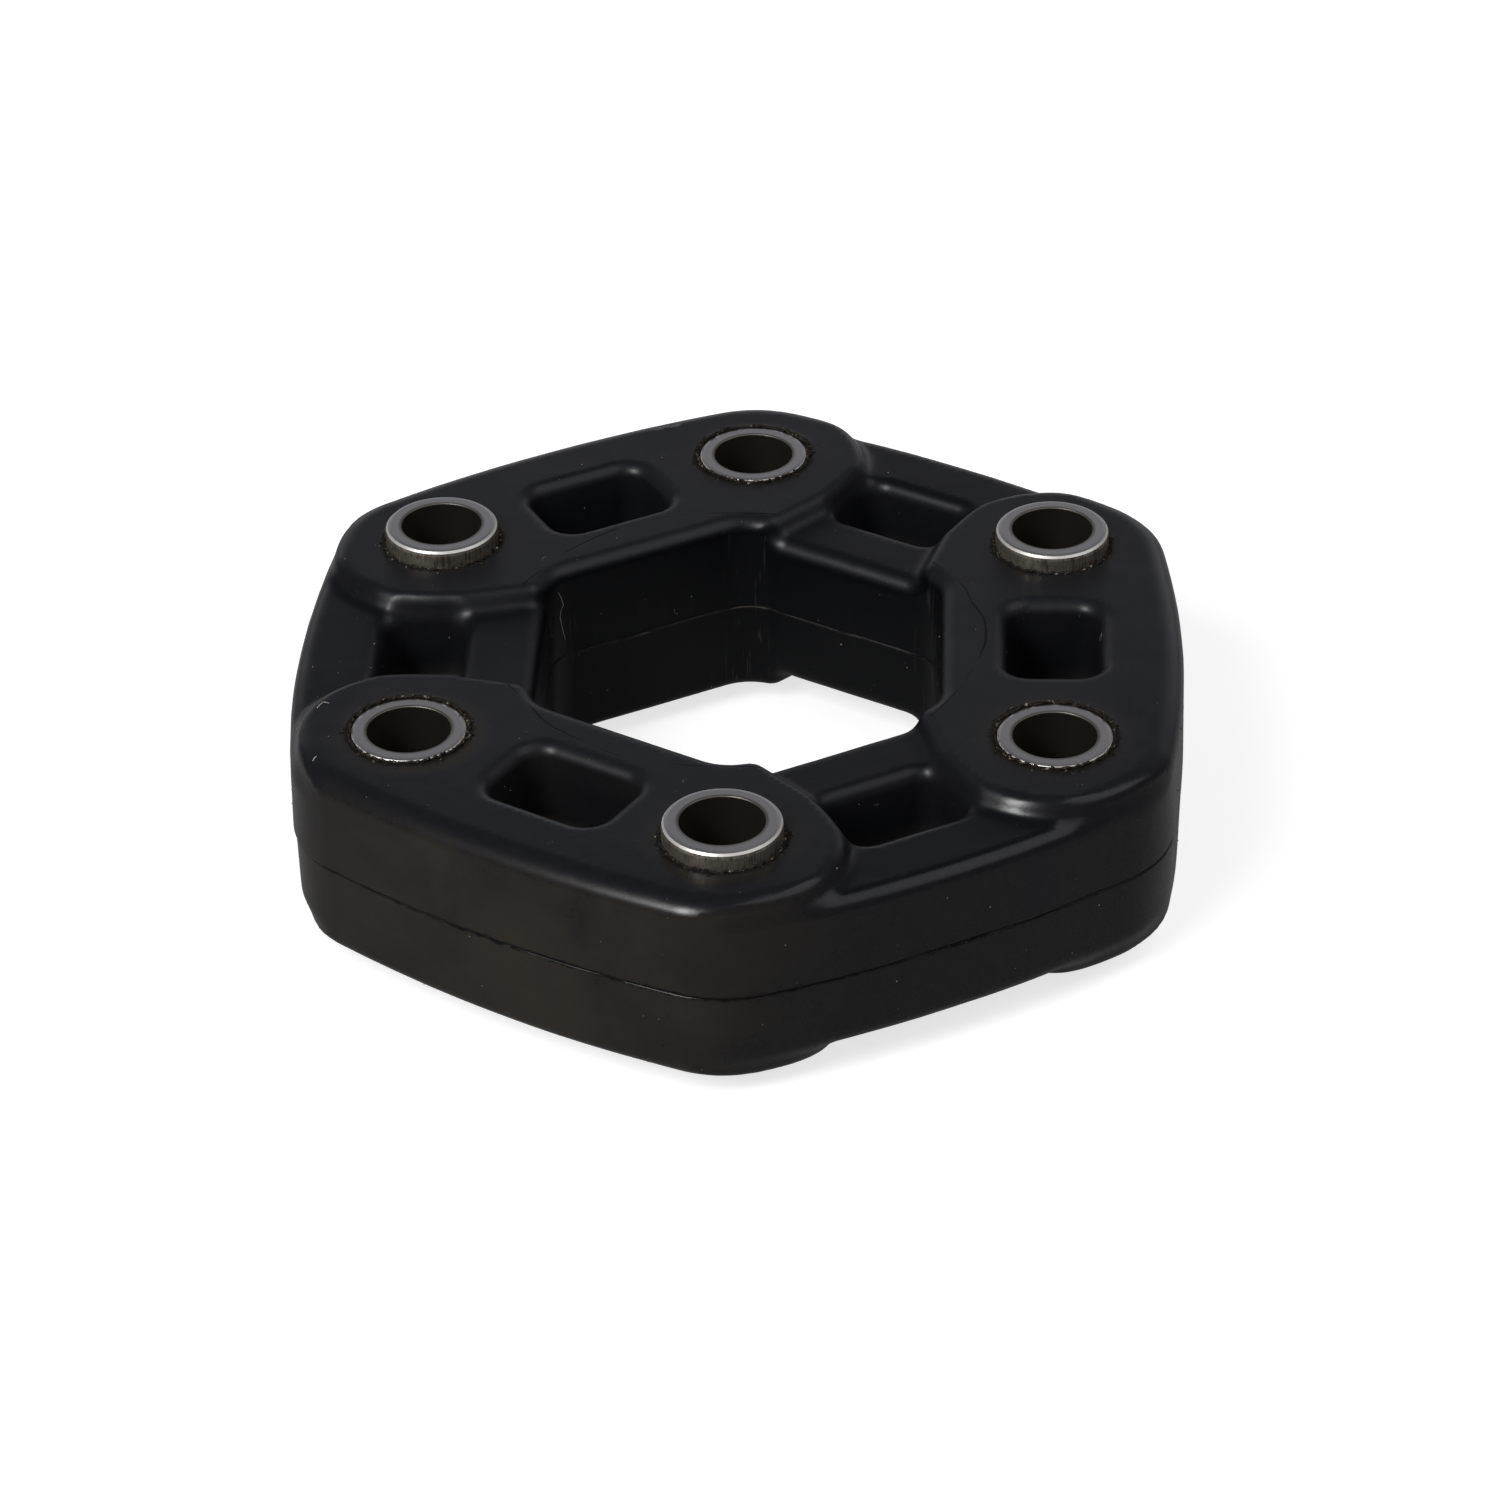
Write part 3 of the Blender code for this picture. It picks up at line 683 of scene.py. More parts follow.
side_tone = add(tree, "Mix", {0: streaks, 6: linear("#8f867a"), 7: linear("#b8afa2")}, data_type="RGBA")
radial = add(tree, "VectorMath", {0: local.outputs["Vector"], 1: (1.0, 1.0, 0.0)}, operation="MULTIPLY")
radial = add(tree, "VectorMath", {0: radial}, operation="LENGTH")
in_bore = add(tree, "MapRange", {"Value": radial.outputs["Value"], "From Min": 0.0056, "From Max": 0.0052})
bare_tone = add(tree, "Mix", {0: side, 6: face_tone, 7: side_tone}, data_type="RGBA")
rust_and_rim_highlight = add(tree, "Mix", {0: rust, 6: bare_tone, 7: linear("#3c342b")}, data_type="RGBA")
# Painted highlight: the chamfers get a pale, less metallic colour that stands in for the rims' reflection
on_chamfer = add(tree, "Math", {0: flatness, 1: 0.7, 2: 0.22}, operation="COMPARE")
rust_and_rim_highlight = add(tree, "Mix", {0: on_chamfer, 6: rust_and_rim_highlight, 7: linear("#c6c4c0")}, data_type="RGBA")
tone = add(tree, "Mix", {0: in_bore, 6: rust_and_rim_highlight, 7: linear("#5f5b54")}, data_type="RGBA")
outer_rust = add(tree, "Math", {0: rust, 1: in_bore}, operation="SUBTRACT", use_clamp=True)
metal = add(tree, "MapRange", {"Value": outer_rust, "To Min": 0.90, "To Max": 0.55})
polish = add(tree, "MapRange", {"Value": outer_rust, "To Min": 0.31, "To Max": 0.58})
polish = add(tree, "Math", {0: on_chamfer, 1: 0.16, 2: polish}, operation="MULTIPLY_ADD")
metal = add(tree, "Math", {0: on_chamfer, 1: -0.45, 2: metal}, operation="MULTIPLY_ADD")
streak_depth = add(tree, "MapRange", {"Value": in_bore, "To Min": 1.0, "To Max": 0.12})
streak_relief = add(tree, "Math", {0: streaks, 1: streak_depth}, operation="MULTIPLY")
relief = add(tree, "Mix", {0: side, 2: grain, 3: streak_relief})
bump = add(tree, "Bump", {"Height": relief, "Strength": 0.35, "Distance": 0.00002})
shader = add(tree, "BsdfPrincipled", {"Base Color": tone, "Metallic": metal, "Roughness": polish,
    "Normal": bump})
add(tree, "OutputMaterial", {"Surface": shader})

# %% Grow the bolt sleeves
bore_radius = 5.1
sleeve_values = {
    "Bolt circle radius": BOLT_RADIUS * MM,
    "Bore radius": bore_radius * MM,
    "Wall": (SLEEVE_RADIUS - bore_radius) * MM,
    "Length": high_high.z - high_low.z,
    "Stagger": (high_high.z + high_low.z) / 2.0,
    "Steel": steel,
}
sleeves = grow("bolt_sleeves", sleeve_tree, sleeve_values)
sleeves.data.shade_smooth()
sleeves.data.set_sharp_from_angle(angle=math.radians(14.0))
print("sleeves in mm:", [round(v / MM, 2) for v in (*sleeves.bound_box[0], *sleeves.bound_box[6])])
rim_height = sleeves.bound_box[6][2] - 0.0024
rim = [v.co for v in sleeves.data.vertices if v.co.y > 0.03 and abs(v.co.x) < 0.0095 and v.co.z > rim_height]
rim_reach = [math.hypot(place.x, place.y - BOLT_RADIUS * MM) / MM for place in rim]
print("end face of one sleeve runs from", round(min(rim_reach), 2), "to", round(max(rim_reach), 2), "mm")

# %% [markdown]
# ## Moulded rubber
#
# Natural rubber filled with carbon black, moulded in a steel tool. It is a satin charcoal, not a pure
# black: slightly blue where it is clean and brownish where ageing wax and dirt have bloomed, in the
# hollows, near the sleeves and down the walls. The walls that face the front left are painted browner and
# paler, partly a stain and partly painted light on the lamp's side, and the lower faces, the hole's wall
# and the pocket depths are darkened with painted shade. The tool left a fine grain of about a third of a
# millimetre, and cracks finer than a hair follow the buried loops.

# %% Moulded rubber
black_rubber, tree = new_material("carbon_black_moulded_rubber")
place = add(tree, "TexCoord").outputs["Object"]
hollow, ridge, from_sleeve, crack, raised, stain, inner_wall, outer_side, inner_corner, depth = (
    add(tree, "Attribute", attribute_name=name).outputs["Fac"]
    for name in ("hollow", "ridge", "from_sleeve", "crack", "raised",
                 "stain", "inner_wall", "outer_side", "inner_corner", "depth")
)
shape = add(tree, "NewGeometry")
facing = add(tree, "SeparateXYZ", {0: shape.outputs["Normal"]})
upness = add(tree, "Math", {0: facing.outputs["Z"]}, operation="ABSOLUTE")
clouds = add(tree, "TexNoise", {"Vector": place, "Scale": 48.0, "Detail": 5.0, "Roughness": 0.62,
    "Distortion": 0.4})
mottle = add(tree, "TexNoise", {"Vector": place, "Scale": 700.0, "Detail": 4.0, "Roughness": 0.7})
grain = add(tree, "TexNoise", {"Vector": place, "Scale": 3000.0, "Detail": 2.0})

wall_bloom = add(tree, "MapRange", {"Value": upness, "From Min": 0.9, "From Max": 0.2, "To Max": 0.75})
# Walls facing the front left get more of the paler brown bloom, partly painted light on the lamp's side; the
# hole's wall gets none
bloom_and_lit_side_share = add(tree, "MapRange", {"Value": outer_side, "To Min": 0.30, "To Max": 1.0})
stain_and_lit_side_share = add(tree, "MapRange", {"Value": stain, "To Min": 0.45, "To Max": 1.0})
bloom_and_lit_side_share = add(tree, "Math", {0: bloom_and_lit_side_share, 1: stain_and_lit_side_share}, operation="MULTIPLY")
bloom_and_lit_side_share = add(tree, "Math", {0: bloom_and_lit_side_share, 1: inner_wall}, operation="SUBTRACT", use_clamp=True)
wall_bloom = add(tree, "Math", {0: wall_bloom, 1: bloom_and_lit_side_share}, operation="MULTIPLY")
hollow_bloom = add(tree, "MapRange", {"Value": hollow, "From Min": 0.04, "From Max": 0.35, "To Max": 0.8})
sleeve_bloom = add(tree, "MapRange", {"Value": from_sleeve, "From Min": 10.5, "From Max": 7.4,
    "To Max": 0.55})
bloom_sum = add(tree, "Math", {0: wall_bloom, 1: hollow_bloom}, operation="MAXIMUM")
bloom_sum = add(tree, "Math", {0: bloom_sum, 1: sleeve_bloom}, operation="MAXIMUM")
cloud_share = add(tree, "MapRange", {"Value": clouds, "From Min": 0.36, "From Max": 0.64, "To Min": 0.30,
    "To Max": 1.0})
bloom = add(tree, "Math", {0: bloom_sum, 1: cloud_share}, operation="MULTIPLY")
# Paler brown on the front-left walls: partly a stain, partly painted light
brown_and_lit_side = add(tree, "Math", {0: stain, 1: bloom}, operation="MULTIPLY")
clean = add(tree, "Mix", {0: mottle, 6: linear("#121317"), 7: linear("#1b1c21")}, data_type="RGBA")
bloomed = add(tree, "Mix", {0: mottle, 6: linear("#1a1713"), 7: linear("#29241d")}, data_type="RGBA")
tone = add(tree, "Mix", {0: bloom, 6: clean, 7: bloomed}, data_type="RGBA")
# Painted shade: the lower faces of the thin links, the hole's wall and the deep parts of the pockets are
# darkened to near black
painted_shade = add(tree, "MapRange", {"Value": raised, "To Min": 0.68, "To Max": 0.0})
up_side = add(tree, "MapRange", {"Value": facing.outputs["Z"], "From Min": 0.3, "From Max": 0.9})
painted_shade = add(tree, "Math", {0: painted_shade, 1: up_side}, operation="MULTIPLY")
painted_shade = add(tree, "Math", {0: painted_shade, 1: inner_wall}, operation="MAXIMUM")
painted_shade = add(tree, "Math", {0: painted_shade, 1: depth}, operation="MAXIMUM")

# A crumbly dark ring lies at the foot of each sleeve
crumbs = add(tree, "TexNoise", {"Vector": place, "Scale": 1300.0, "Detail": 3.0, "Roughness": 0.7})
foot = add(tree, "MapRange", {"Value": from_sleeve, "From Min": 8.7, "From Max": 7.4})
crumbly = add(tree, "Math", {0: crumbs, 1: foot}, operation="ADD")
dark_foot_ring = add(tree, "MapRange", {"Value": crumbly, "From Min": 0.95, "From Max": 1.25})

# Cracks show on the raised upper faces only, in broken stretches
crack_width = add(tree, "Math", {0: crack}, operation="ABSOLUTE")
crack_line = add(tree, "MapRange", {"Value": crack_width, "From Min": 0.20, "From Max": 0.06})
stretch = add(tree, "TexNoise", {"Vector": place, "Scale": 110.0, "Detail": 1.0})
broken = add(tree, "MapRange", {"Value": stretch, "From Min": 0.38, "From Max": 0.50})
top_only = add(tree, "MapRange", {"Value": facing.outputs["Z"], "From Min": 0.9, "From Max": 0.98})
crack_mask = crack_line
for mask in (broken, top_only, raised):
    crack_mask = add(tree, "Math", {0: crack_mask, 1: mask}, operation="MULTIPLY")

# The fin inside the hole is scuffed pale, and the step outside gets a painted shadow, a dark line along the
# parting line
level = add(tree, "SeparateXYZ", {0: place}).outputs["Z"]
level_size = add(tree, "Math", {0: level}, operation="ABSOLUTE")
waver = add(tree, "Math", {0: mottle, 1: 0.0012, 2: -0.0006}, operation="MULTIPLY_ADD")
waver = add(tree, "Math", {0: level, 1: waver}, operation="ADD")
wavered_size = add(tree, "Math", {0: waver}, operation="ABSOLUTE")
on_line = add(tree, "MapRange", {"Value": wavered_size, "From Min": 0.00040, "From Max": 0.00018})
on_fin = add(tree, "MapRange", {"Value": level_size, "From Min": 0.00013, "From Max": 0.00004})
fin = add(tree, "Math", {0: on_fin, 1: inner_wall}, operation="MULTIPLY")
fin_stretch = add(tree, "TexNoise", {"Vector": place, "Scale": 240.0, "Detail": 2.0})
fin_stretch = add(tree, "MapRange", {"Value": fin_stretch, "From Min": 0.46, "From Max": 0.56})
fin = add(tree, "Math", {0: fin, 1: fin_stretch}, operation="MULTIPLY")
# Painted shadow under the parting step, on the outer walls only
outside = add(tree, "Math", {0: on_line, 1: inner_wall}, operation="SUBTRACT", use_clamp=True)
wall_only = add(tree, "Math", {0: upness, 1: 0.8}, operation="LESS_THAN")
outside = add(tree, "Math", {0: outside, 1: wall_only}, operation="MULTIPLY")

# The core that shaped the hole left upright scratches as it was drawn
drawn = add(tree, "Mapping", {"Vector": place, "Scale": (1.0, 1.0, 0.06)})
scratch = add(tree, "TexNoise", {"Vector": drawn, "Scale": 2700.0, "Detail": 2.0})
scratch = add(tree, "MapRange", {"Value": scratch, "From Min": 0.62, "From Max": 0.70})
patchy = add(tree, "MapRange", {"Value": stretch, "From Min": 0.50, "From Max": 0.64, "To Max": 0.12})
scratch = add(tree, "Math", {0: scratch, 1: inner_wall}, operation="MULTIPLY")
patchy = add(tree, "Math", {0: inner_corner, 1: 0.6, 2: patchy}, operation="MULTIPLY_ADD", use_clamp=True)
scratch = add(tree, "Math", {0: scratch, 1: patchy}, operation="MULTIPLY")

# Dust lies in fine pale grains, more of them on worn ridges
grains = add(tree, "TexVoronoi", {"Vector": place, "Scale": 900.0}).outputs["Distance"]
speck = add(tree, "MapRange", {"Value": grains, "From Min": 0.10, "From Max": 0.05})
where = add(tree, "TexNoise", {"Vector": place, "Scale": 190.0, "Detail": 3.0, "Roughness": 0.7})
worn = add(tree, "Math", {0: ridge, 1: 0.10, 2: where}, operation="MULTIPLY_ADD")
dusty = add(tree, "MapRange", {"Value": worn, "From Min": 0.56, "From Max": 0.68, "To Max": 0.7})
dust = add(tree, "Math", {0: speck, 1: dusty}, operation="MULTIPLY")

# Each layer covers the ones before it: brown stain partly painted as the lit side, painted shade, the dark
# foot ring, cracks, fin, painted shadow at the parting line, scratches, dust
layers = [
    (brown_and_lit_side, "#342f28"), (painted_shade, "#06070a"), (dark_foot_ring, "#0c0a08"), (crack_mask, "#030303"),
    (fin, "#4a473f"), (outside, "#060504"), (scratch, "#35342f"), (dust, "#5d5a55"),
]
for mask, colour in layers:
    tone = add(tree, "Mix", {0: mask, 6: tone, 7: linear(colour)}, data_type="RGBA")

# Bloom, hollows, cracks and the dark foot ring scatter more light, and cracks and crumbs change the relief
rough = add(tree, "MapRange", {"Value": mottle, "To Min": 0.22, "To Max": 0.27})
duller = add(tree, "MapRange", {"Value": outer_side, "To Min": 0.14, "To Max": 0.0})
for mask, amount in ((bloom, 0.12), (duller, 1.0), (hollow, 0.30), (crack_mask, 0.5), (dark_foot_ring, 0.35)):
    rough = add(tree, "Math", {0: mask, 1: amount, 2: rough}, operation="MULTIPLY_ADD", use_clamp=True)
relief = add(tree, "Math", {0: grain, 1: mottle}, operation="ADD")
for mask, amount in ((crack_mask, -7.0), (dark_foot_ring, 2.0)):
    relief = add(tree, "Math", {0: mask, 1: amount, 2: relief}, operation="MULTIPLY_ADD")
bump = add(tree, "Bump", {"Height": relief, "Strength": 0.25, "Distance": 0.000025})
shader = add(tree, "BsdfPrincipled", {"Base Color": tone, "Roughness": rough, "Specular IOR Level": 0.20,
    "Normal": bump})
add(tree, "OutputMaterial", {"Surface": shader})
rubber_mesh.materials.append(black_rubber)

# %% [markdown]
# ## Torn flash round the sleeves
#
# When the disc left its mould, the thin skin of rubber round each steel sleeve tore. It left a ragged
# bead at the sleeve's foot and loose flakes next to it. A circle that is shaken by noise and swept with
# a small section gives the bead, and scattered flat cones give the flakes. The noise is read at the
# bead's own place, so no two sleeves look alike.

# %% Tree of the torn flash
tree, given = new_tree("torn_flash", [
    ("Bead radius", "Float", 0.00725),
    ("Bead thickness", "Float", 0.00019),
    ("Raggedness", "Float", 0.0017),
    ("Flakes", "Int", 44),
    ("Flake size", "Float", 0.00032),
    ("Seed", "Int", 7),
    ("Flash", "Material", None),
])
circle = add(tree, "CurvePrimitiveCircle", {"Resolution": 190, "Radius": given["Bead radius"]},
    mode="RADIUS")
beads = add(tree, "InstanceOnPoints", {"Points": given["Geometry"], "Instance": circle})
beads = add(tree, "RealizeInstances", {"Geometry": beads})
tear = add(tree, "TexNoise", {"Scale": 1400.0, "Detail": 3.0, "Roughness": 0.7})
shake = add(tree, "VectorMath", {0: tear.outputs["Color"], 1: (0.5, 0.5, 0.45)}, operation="SUBTRACT")
shake = add(tree, "VectorMath", {0: shake, "Scale": given["Raggedness"]}, operation="SCALE")
shaken = add(tree, "SetPosition", {"Geometry": beads, "Offset": shake})
swell = add(tree, "TexNoise", {"Scale": 620.0, "Detail": 2.0})
swell = add(tree, "MapRange", {"Value": swell, "From Min": 0.40, "From Max": 0.64, "To Min": 0.05,
    "To Max": 1.7})
swollen = add(tree, "SetCurveRadius", {"Curve": shaken, "Radius": swell})
section = add(tree, "CurvePrimitiveCircle", {"Resolution": 6, "Radius": given["Bead thickness"]},
    mode="RADIUS")
bead_mesh = add(tree, "CurveToMesh", {"Curve": swollen, "Profile Curve": section})

spots = add(tree, "Points", {"Count": given["Flakes"]})
reach = add(tree, "RandomValue", {2: 1.0, 3: 1.11, "Seed": given["Seed"]}, data_type="FLOAT")
reach = add(tree, "Math", {0: reach, 1: given["Bead radius"]}, operation="MULTIPLY")
turn = add(tree, "RandomValue", {2: 0.0, 3: math.tau, "Seed": 11}, data_type="FLOAT")
across = add(tree, "Math", {0: turn}, operation="COSINE")
up = add(tree, "Math", {0: turn}, operation="SINE")
direction = add(tree, "CombineXYZ", {"X": across, "Y": up})
there = add(tree, "VectorMath", {0: direction, "Scale": reach}, operation="SCALE")
scattered = add(tree, "SetPosition", {"Geometry": spots, "Position": there})
flake = add(tree, "MeshCone", {"Vertices": 5, "Radius Top": 0.0, "Radius Bottom": given["Flake size"],
    "Depth": 0.00009})
tilt = add(tree, "RandomValue", {0: (-0.5, -0.5, 0.0), 1: (0.5, 0.5, math.tau), "Seed": 13},
    data_type="FLOAT_VECTOR")
grow_by = add(tree, "RandomValue", {0: (0.3, 0.3, 0.6), 1: (1.6, 0.9, 1.6), "Seed": 17},
    data_type="FLOAT_VECTOR")
flakes = add(tree, "InstanceOnPoints", {"Points": scattered, "Instance": flake, "Rotation": tilt,
    "Scale": grow_by})
spin = add(tree, "RandomValue", {0: (0.0, 0.0, 0.0), 1: (0.0, 0.0, math.tau), "Seed": 19},
    data_type="FLOAT_VECTOR")
all_flakes = add(tree, "InstanceOnPoints", {"Points": given["Geometry"], "Instance": flakes,
    "Rotation": spin})
both = add(tree, "JoinGeometry")
tree.links.new(bead_mesh.outputs[0], both.inputs[0])
tree.links.new(all_flakes.outputs[0], both.inputs[0])
close_tree(tree, both, given["Flash"])
flash_tree = tree

# %% [markdown]
# ## Torn rubber
#
# A torn edge is the same rubber, but dull, and brown from the rust of the sleeve it touches. Single
# flakes have picked up pale dust. The colour changes every few tenths of a millimetre.

# %% Torn rubber
torn_rubber, tree = new_material("torn_rubber_flash")
place = add(tree, "TexCoord").outputs["Object"]
patches = add(tree, "TexNoise", {"Vector": place, "Scale": 1500.0, "Detail": 3.0, "Roughness": 0.7})
rusty = add(tree, "MapRange", {"Value": patches, "From Min": 0.45, "From Max": 0.66})
dusty = add(tree, "MapRange", {"Value": patches, "From Min": 0.60, "From Max": 0.68})
tone = add(tree, "Mix", {0: rusty, 6: linear("#14110f"), 7: linear("#33291f")}, data_type="RGBA")
tone = add(tree, "Mix", {0: dusty, 6: tone, 7: linear("#8a8276")}, data_type="RGBA")
bump = add(tree, "Bump", {"Height": patches, "Strength": 0.6, "Distance": 0.00008})
shader = add(tree, "BsdfPrincipled", {"Base Color": tone, "Roughness": 0.7, "Specular IOR Level": 0.15,
    "Normal": bump})
add(tree, "OutputMaterial", {"Surface": shader})

# %% Grow the torn flash
feet = []
for i in range(6):
    angle = TURN * (i + 0.5)
    for side in (1, -1):
        proud = side == (1 if i % 2 == 0 else -1)
        height = THICK + (0.04 if proud else 0.10)
        foot = Vector((BOLT_RADIUS * math.cos(angle), BOLT_RADIUS * math.sin(angle), side * height))
        feet.append(foot * MM)
feet_mesh = bpy.data.meshes.new("sleeve_feet")
feet_mesh.from_pydata(feet, [], [])
flash = grow("torn_flash", flash_tree, {"Bead radius": (SLEEVE_RADIUS + 0.12) * MM, "Flash": torn_rubber},
    feet_mesh)

# %% [markdown]
# ## Dust and lint
#
# The disc has lain on a bench. Pale grains of about a tenth of a millimetre stick to it, most of them on
# the worn rims, and a few short fibres. Distribute Points on Faces scatters both with a fixed seed, and
# the density follows the attributes that the rubber already carries.

# %% Tree of the dust grains
tree, given = new_tree("dust_grains", [
    ("Grains per square metre", "Float", 70000.0),
    ("Grain size", "Float", 0.00011),
    ("Seed", "Int", 4),
    ("Dust", "Material", None),
])
ridge = add(tree, "InputNamedAttribute", {"Name": "ridge"}, data_type="FLOAT")
clumps = add(tree, "TexNoise", {"Scale": 120.0, "Detail": 3.0})
clumps = add(tree, "MapRange", {"Value": clumps, "From Min": 0.44, "From Max": 0.66})
worn = add(tree, "Math", {0: ridge, 1: 1.2, 2: 0.4}, operation="MULTIPLY_ADD")
share = add(tree, "Math", {0: clumps, 1: worn}, operation="MULTIPLY")
density = add(tree, "Math", {0: share, 1: given["Grains per square metre"]}, operation="MULTIPLY")
spots = add(tree, "DistributePointsOnFaces", {"Mesh": given["Geometry"], "Density": density,
    "Seed": given["Seed"]}, distribute_method="RANDOM")
grain = add(tree, "MeshCone", {"Vertices": 4, "Radius Top": 0.0, "Radius Bottom": given["Grain size"],
    "Depth": given["Grain size"]})
spin = add(tree, "RandomValue", {0: (0.0, 0.0, 0.0), 1: (math.tau, math.tau, math.tau), "Seed": 5},
    data_type="FLOAT_VECTOR")
size = add(tree, "RandomValue", {2: 0.5, 3: 1.5, "Seed": 6}, data_type="FLOAT")
grains = add(tree, "InstanceOnPoints", {"Points": spots, "Instance": grain, "Rotation": spin,
    "Scale": size})
close_tree(tree, grains, given["Dust"])
dust_tree = tree

# %% Tree of the lint fibres
tree, given = new_tree("lint_fibres", [
    ("Fibres per square metre", "Float", 900.0),
    ("Fibre length", "Float", 0.0011),
    ("Fibre radius", "Float", 0.000022),
    ("Seed", "Int", 21),
    ("Lint", "Material", None),
])
spots = add(tree, "DistributePointsOnFaces", {"Mesh": given["Geometry"],
    "Density": given["Fibres per square metre"], "Seed": given["Seed"]}, distribute_method="RANDOM")
bow = add(tree, "CurveQuadraticBezier", {"Resolution": 6, "Start": (-0.5, 0.0, 0.03),
    "Middle": (0.1, 0.6, 0.15), "End": (0.5, -0.1, 0.03)})
bow_scale = add(tree, "CombineXYZ", {axis: given["Fibre length"] for axis in "XYZ"})
bow = add(tree, "Transform", {"Geometry": bow, "Scale": bow_scale})
section = add(tree, "CurvePrimitiveCircle", {"Resolution": 3, "Radius": given["Fibre radius"]},
    mode="RADIUS")
fibre = add(tree, "CurveToMesh", {"Curve": bow, "Profile Curve": section, "Fill Caps": True})
spin = add(tree, "RandomValue", {2: 0.0, 3: math.tau, "Seed": 22}, data_type="FLOAT")
spin = add(tree, "CombineXYZ", {"Z": spin})
laid = add(tree, "RotateRotation", {"Rotation": spots.outputs["Rotation"], "Rotate By": spin},
    rotation_space="LOCAL")
size = add(tree, "RandomValue", {2: 0.35, 3: 1.2, "Seed": 23}, data_type="FLOAT")
fibres = add(tree, "InstanceOnPoints", {"Points": spots, "Instance": fibre, "Rotation": laid,
    "Scale": size})
close_tree(tree, fibres, given["Lint"])
lint_tree = tree

# %% [markdown]
# ## Dust and lint materials
#
# Workshop dust is mostly mineral and skin: warm grey, quite matt. Lint is undyed cotton, paler, and
# slightly see-through at its edges, which the eye reads as a soft white. Both vary from piece to piece.

# %% Dust and lint
dust, tree = new_material("grey_workshop_dust")
place = add(tree, "TexCoord").outputs["Object"]
kind = add(tree, "TexNoise", {"Vector": place, "Scale": 500.0, "Detail": 2.0})
kind = add(tree, "MapRange", {"Value": kind, "From Min": 0.35, "From Max": 0.65})
tone = add(tree, "Mix", {0: kind, 6: linear("#3c3935"), 7: linear("#837e77")}, data_type="RGBA")
shader = add(tree, "BsdfPrincipled", {"Base Color": tone, "Roughness": 0.9})
add(tree, "OutputMaterial", {"Surface": shader})

lint, tree = new_material("undyed_cotton_lint")
place = add(tree, "TexCoord").outputs["Object"]
kind = add(tree, "TexNoise", {"Vector": place, "Scale": 300.0, "Detail": 1.0})
tone = add(tree, "Mix", {0: kind, 6: linear("#6d6a66"), 7: linear("#c9c4bb")}, data_type="RGBA")
shader = add(tree, "BsdfPrincipled", {"Base Color": tone, "Roughness": 0.8})
add(tree, "OutputMaterial", {"Surface": shader})

# %% Scatter the dust and lint
grains = grow("dust_grains", dust_tree, {"Dust": dust}, rubber_mesh)
fibres = grow("lint_fibres", lint_tree, {"Lint": lint}, rubber_mesh)

# %% [markdown]
# ## Two fibres and a sliver of flash
#
# Some pieces of lint sit where the photograph shows them: a bent white one on the left island and a
# short one below it. In the hole, at the left corner, hangs a thin sliver of torn flash. Each is a path
# in plan that is dropped onto the rubber with the field, then swept thin by the tree below.


# %% Paths laid on the rubber
def dropped(x, y):
    """The point of the upper surface at a place in plan, in millimetres."""
    heights = np.arange(THICK + 0.6, 0.0, -0.01)
    inside = rubber_field(np.full(len(heights), x), np.full(len(heights), y), heights) < 0.0
    return x, y, float(heights[np.argmax(inside)])


def pressed(angle, z):
    """The point of the hole's wall in a direction from the axis, in millimetres."""
    reach = np.arange(15.0, 40.0, 0.01)
    x, y = reach * math.cos(angle), reach * math.sin(angle)
    inside = rubber_field(x, y, np.full(len(reach), z)) < 0.0
    at = int(np.argmax(inside))
    return float(x[at]), float(y[at]), z


def path_mesh(name, paths):
    """A mesh of open paths, each a list of points in millimetres."""
    points, edges = [], []
    for path in paths:
        first = len(points)
        points += [tuple(v * MM for v in point) for point in path]
        edges += [(first + i, first + i + 1) for i in range(len(path) - 1)]
    mesh = bpy.data.meshes.new(name)
    mesh.from_pydata(points, edges, [])
    return mesh


bent_fibre = [(-50.66, -17.57), (-50.45, -16.95), (-50.08, -16.20), (-49.70, -16.28), (-49.32, -16.42)]
short_fibre = [(-49.95, -28.90), (-49.80, -28.50), (-49.55, -28.20)]
fibre_paths = path_mesh("fibre_paths", [[dropped(*p) for p in bent_fibre],
    [dropped(*p) for p in short_fibre]])
sliver = [(148.1, 9.8), (147.2, 8.8), (146.6, 7.6), (147.6, 6.9), (148.0, 6.0), (147.4, 4.2), (146.7, 2.4)]
sliver_paths = path_mesh("sliver_paths", [[pressed(math.radians(a), h) for a, h in sliver]])

# %% Tree that sweeps the paths
tree, given = new_tree("swept_paths", [("Radius", "Float", 0.00005), ("Finish", "Material", None)])
line = add(tree, "MeshToCurve", {0: given["Geometry"]})
along = add(tree, "SplineParameter")
taper = add(tree, "MapRange", {"Value": along.outputs["Factor"], "From Min": 1.0, "From Max": 0.7,
    "To Min": 0.25, "To Max": 1.0})
thinned = add(tree, "SetCurveRadius", {"Curve": line, "Radius": taper})
section = add(tree, "CurvePrimitiveCircle", {"Resolution": 6, "Radius": given["Radius"]}, mode="RADIUS")
swept = add(tree, "CurveToMesh", {"Curve": thinned, "Profile Curve": section, "Fill Caps": True})
close_tree(tree, swept, given["Finish"])
placed_lint = grow("placed_lint", tree, {"Radius": 0.06 * MM, "Finish": lint}, fibre_paths)
flash_sliver = grow("flash_sliver", tree, {"Radius": 0.04 * MM, "Finish": lint}, sliver_paths)

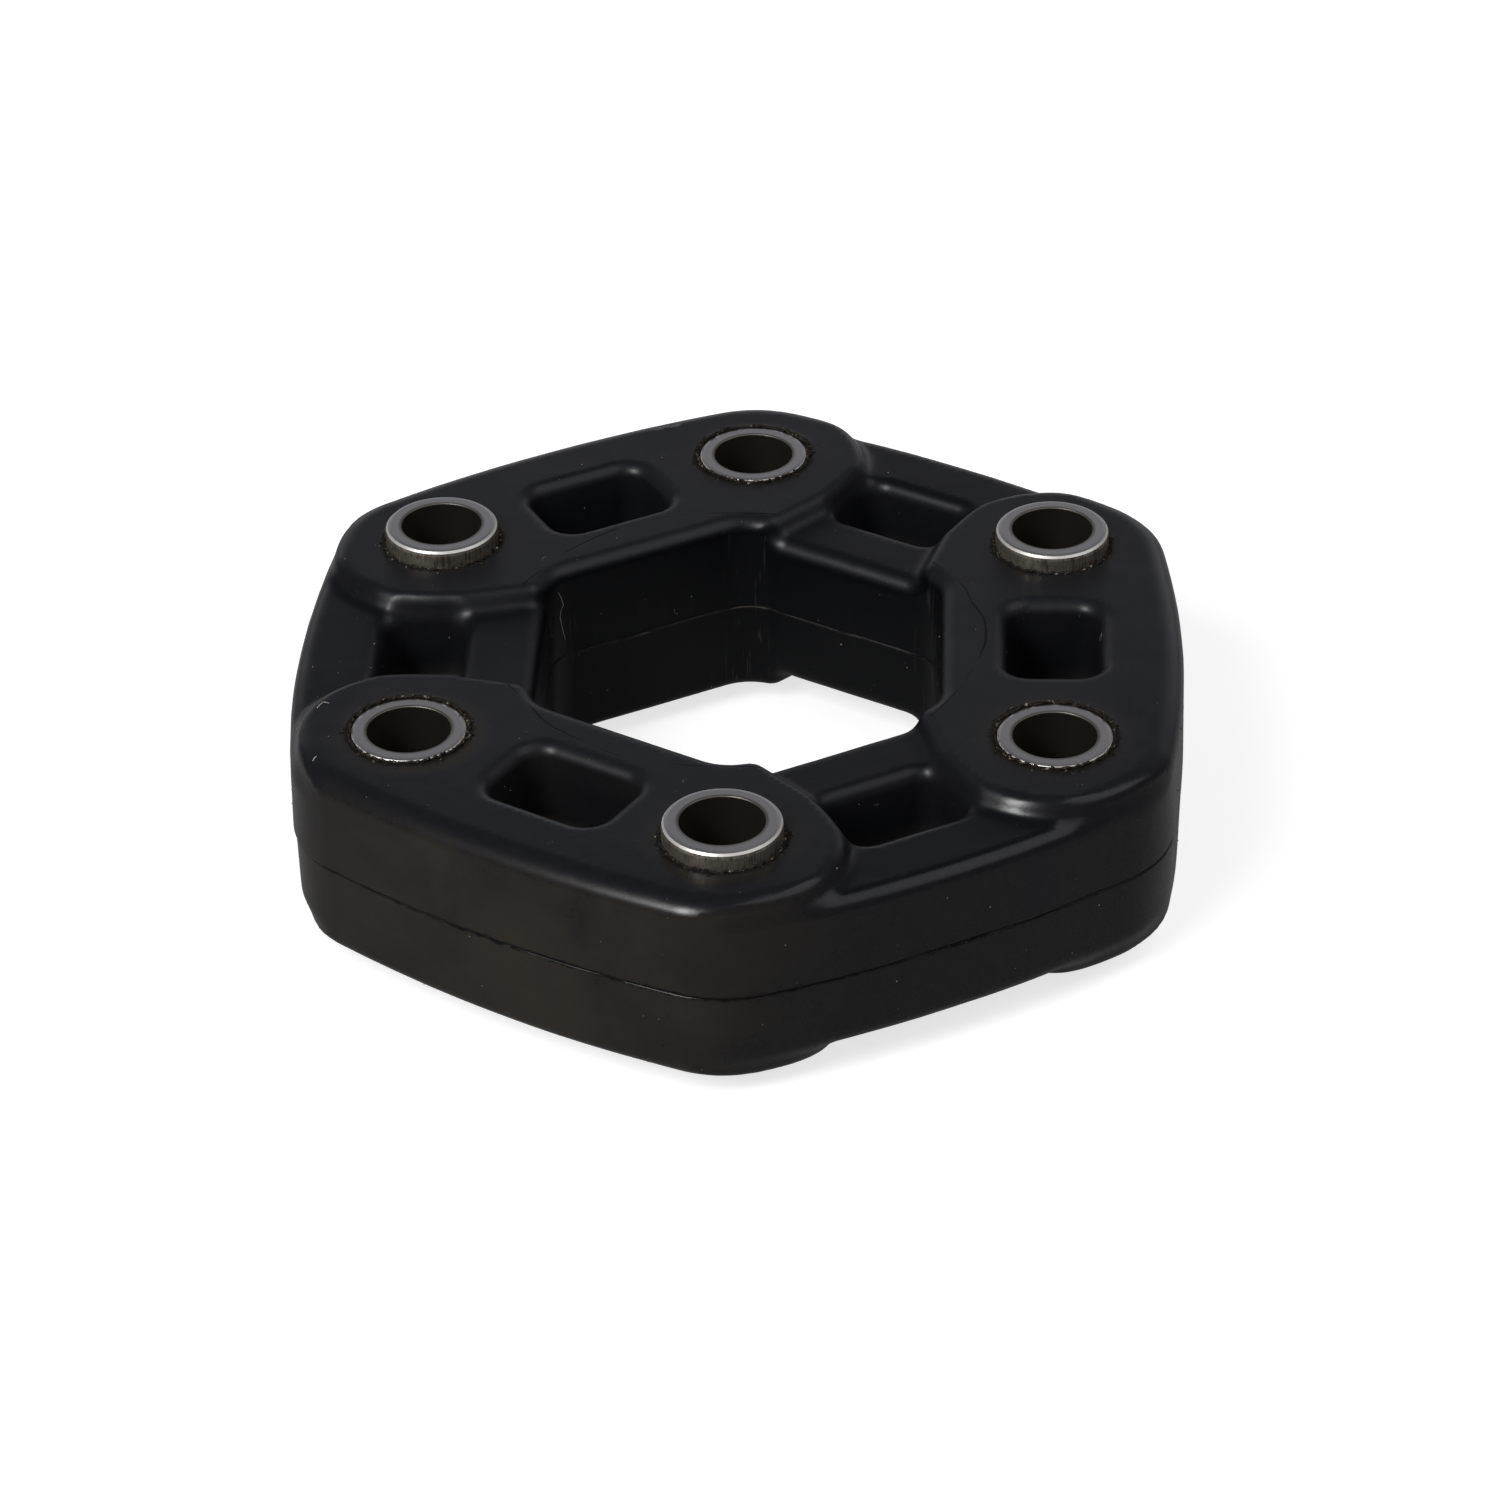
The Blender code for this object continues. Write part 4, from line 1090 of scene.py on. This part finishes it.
# %% [markdown]
# ## Loops and collars inside
#
# The cord loops and the collars that part them are buried in the rubber and don't show, but the model
# carries them. They get their real finishes all the same: dipped polyester cord, wound in many turns,
# and grey glass-filled nylon from a moulding tool.

# %% Dipped cord and filled nylon
cord, tree = new_material("dipped_polyester_cord")
place = add(tree, "TexCoord").outputs["Object"]
turns = add(tree, "TexWave", {"Vector": place, "Scale": 260.0, "Distortion": 1.5, "Detail": 2.0},
    bands_direction="Z")
fibre = add(tree, "TexNoise", {"Vector": place, "Scale": 2500.0, "Detail": 3.0})
tone = add(tree, "Mix", {0: turns, 6: linear("#8a7350"), 7: linear("#d6c49a")}, data_type="RGBA")
relief = add(tree, "Math", {0: fibre, 1: turns}, operation="ADD")
bump = add(tree, "Bump", {"Height": relief, "Strength": 0.6, "Distance": 0.0001})
shader = add(tree, "BsdfPrincipled", {"Base Color": tone, "Roughness": 0.85, "Normal": bump})
add(tree, "OutputMaterial", {"Surface": shader})

nylon, tree = new_material("glass_filled_nylon")
place = add(tree, "TexCoord").outputs["Object"]
flow = add(tree, "TexNoise", {"Vector": place, "Scale": 900.0, "Detail": 4.0})
tone = add(tree, "Mix", {0: flow, 6: linear("#4b4d50"), 7: linear("#66686b")}, data_type="RGBA")
bump = add(tree, "Bump", {"Height": flow, "Strength": 0.3, "Distance": 0.00005})
shader = add(tree, "BsdfPrincipled", {"Base Color": tone, "Roughness": 0.55, "IOR": 1.53, "Normal": bump})
add(tree, "OutputMaterial", {"Surface": shader})

for name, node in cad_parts.items():
    for start, material in (("cord_loop", cord), ("collar", nylon)):
        if name.startswith(start):
            node.data.materials.clear()
            node.data.materials.append(material)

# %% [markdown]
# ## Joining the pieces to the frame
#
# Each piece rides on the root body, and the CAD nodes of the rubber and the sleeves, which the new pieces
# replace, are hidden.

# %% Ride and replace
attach(rubber, "root")
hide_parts("rubber_body")
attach(sleeves, "root")
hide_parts(*["sleeve_%d" % (i + 1) for i in range(6)])
for piece in (flash, grains, fibres, placed_lint, flash_sliver):
    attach(piece, "root")
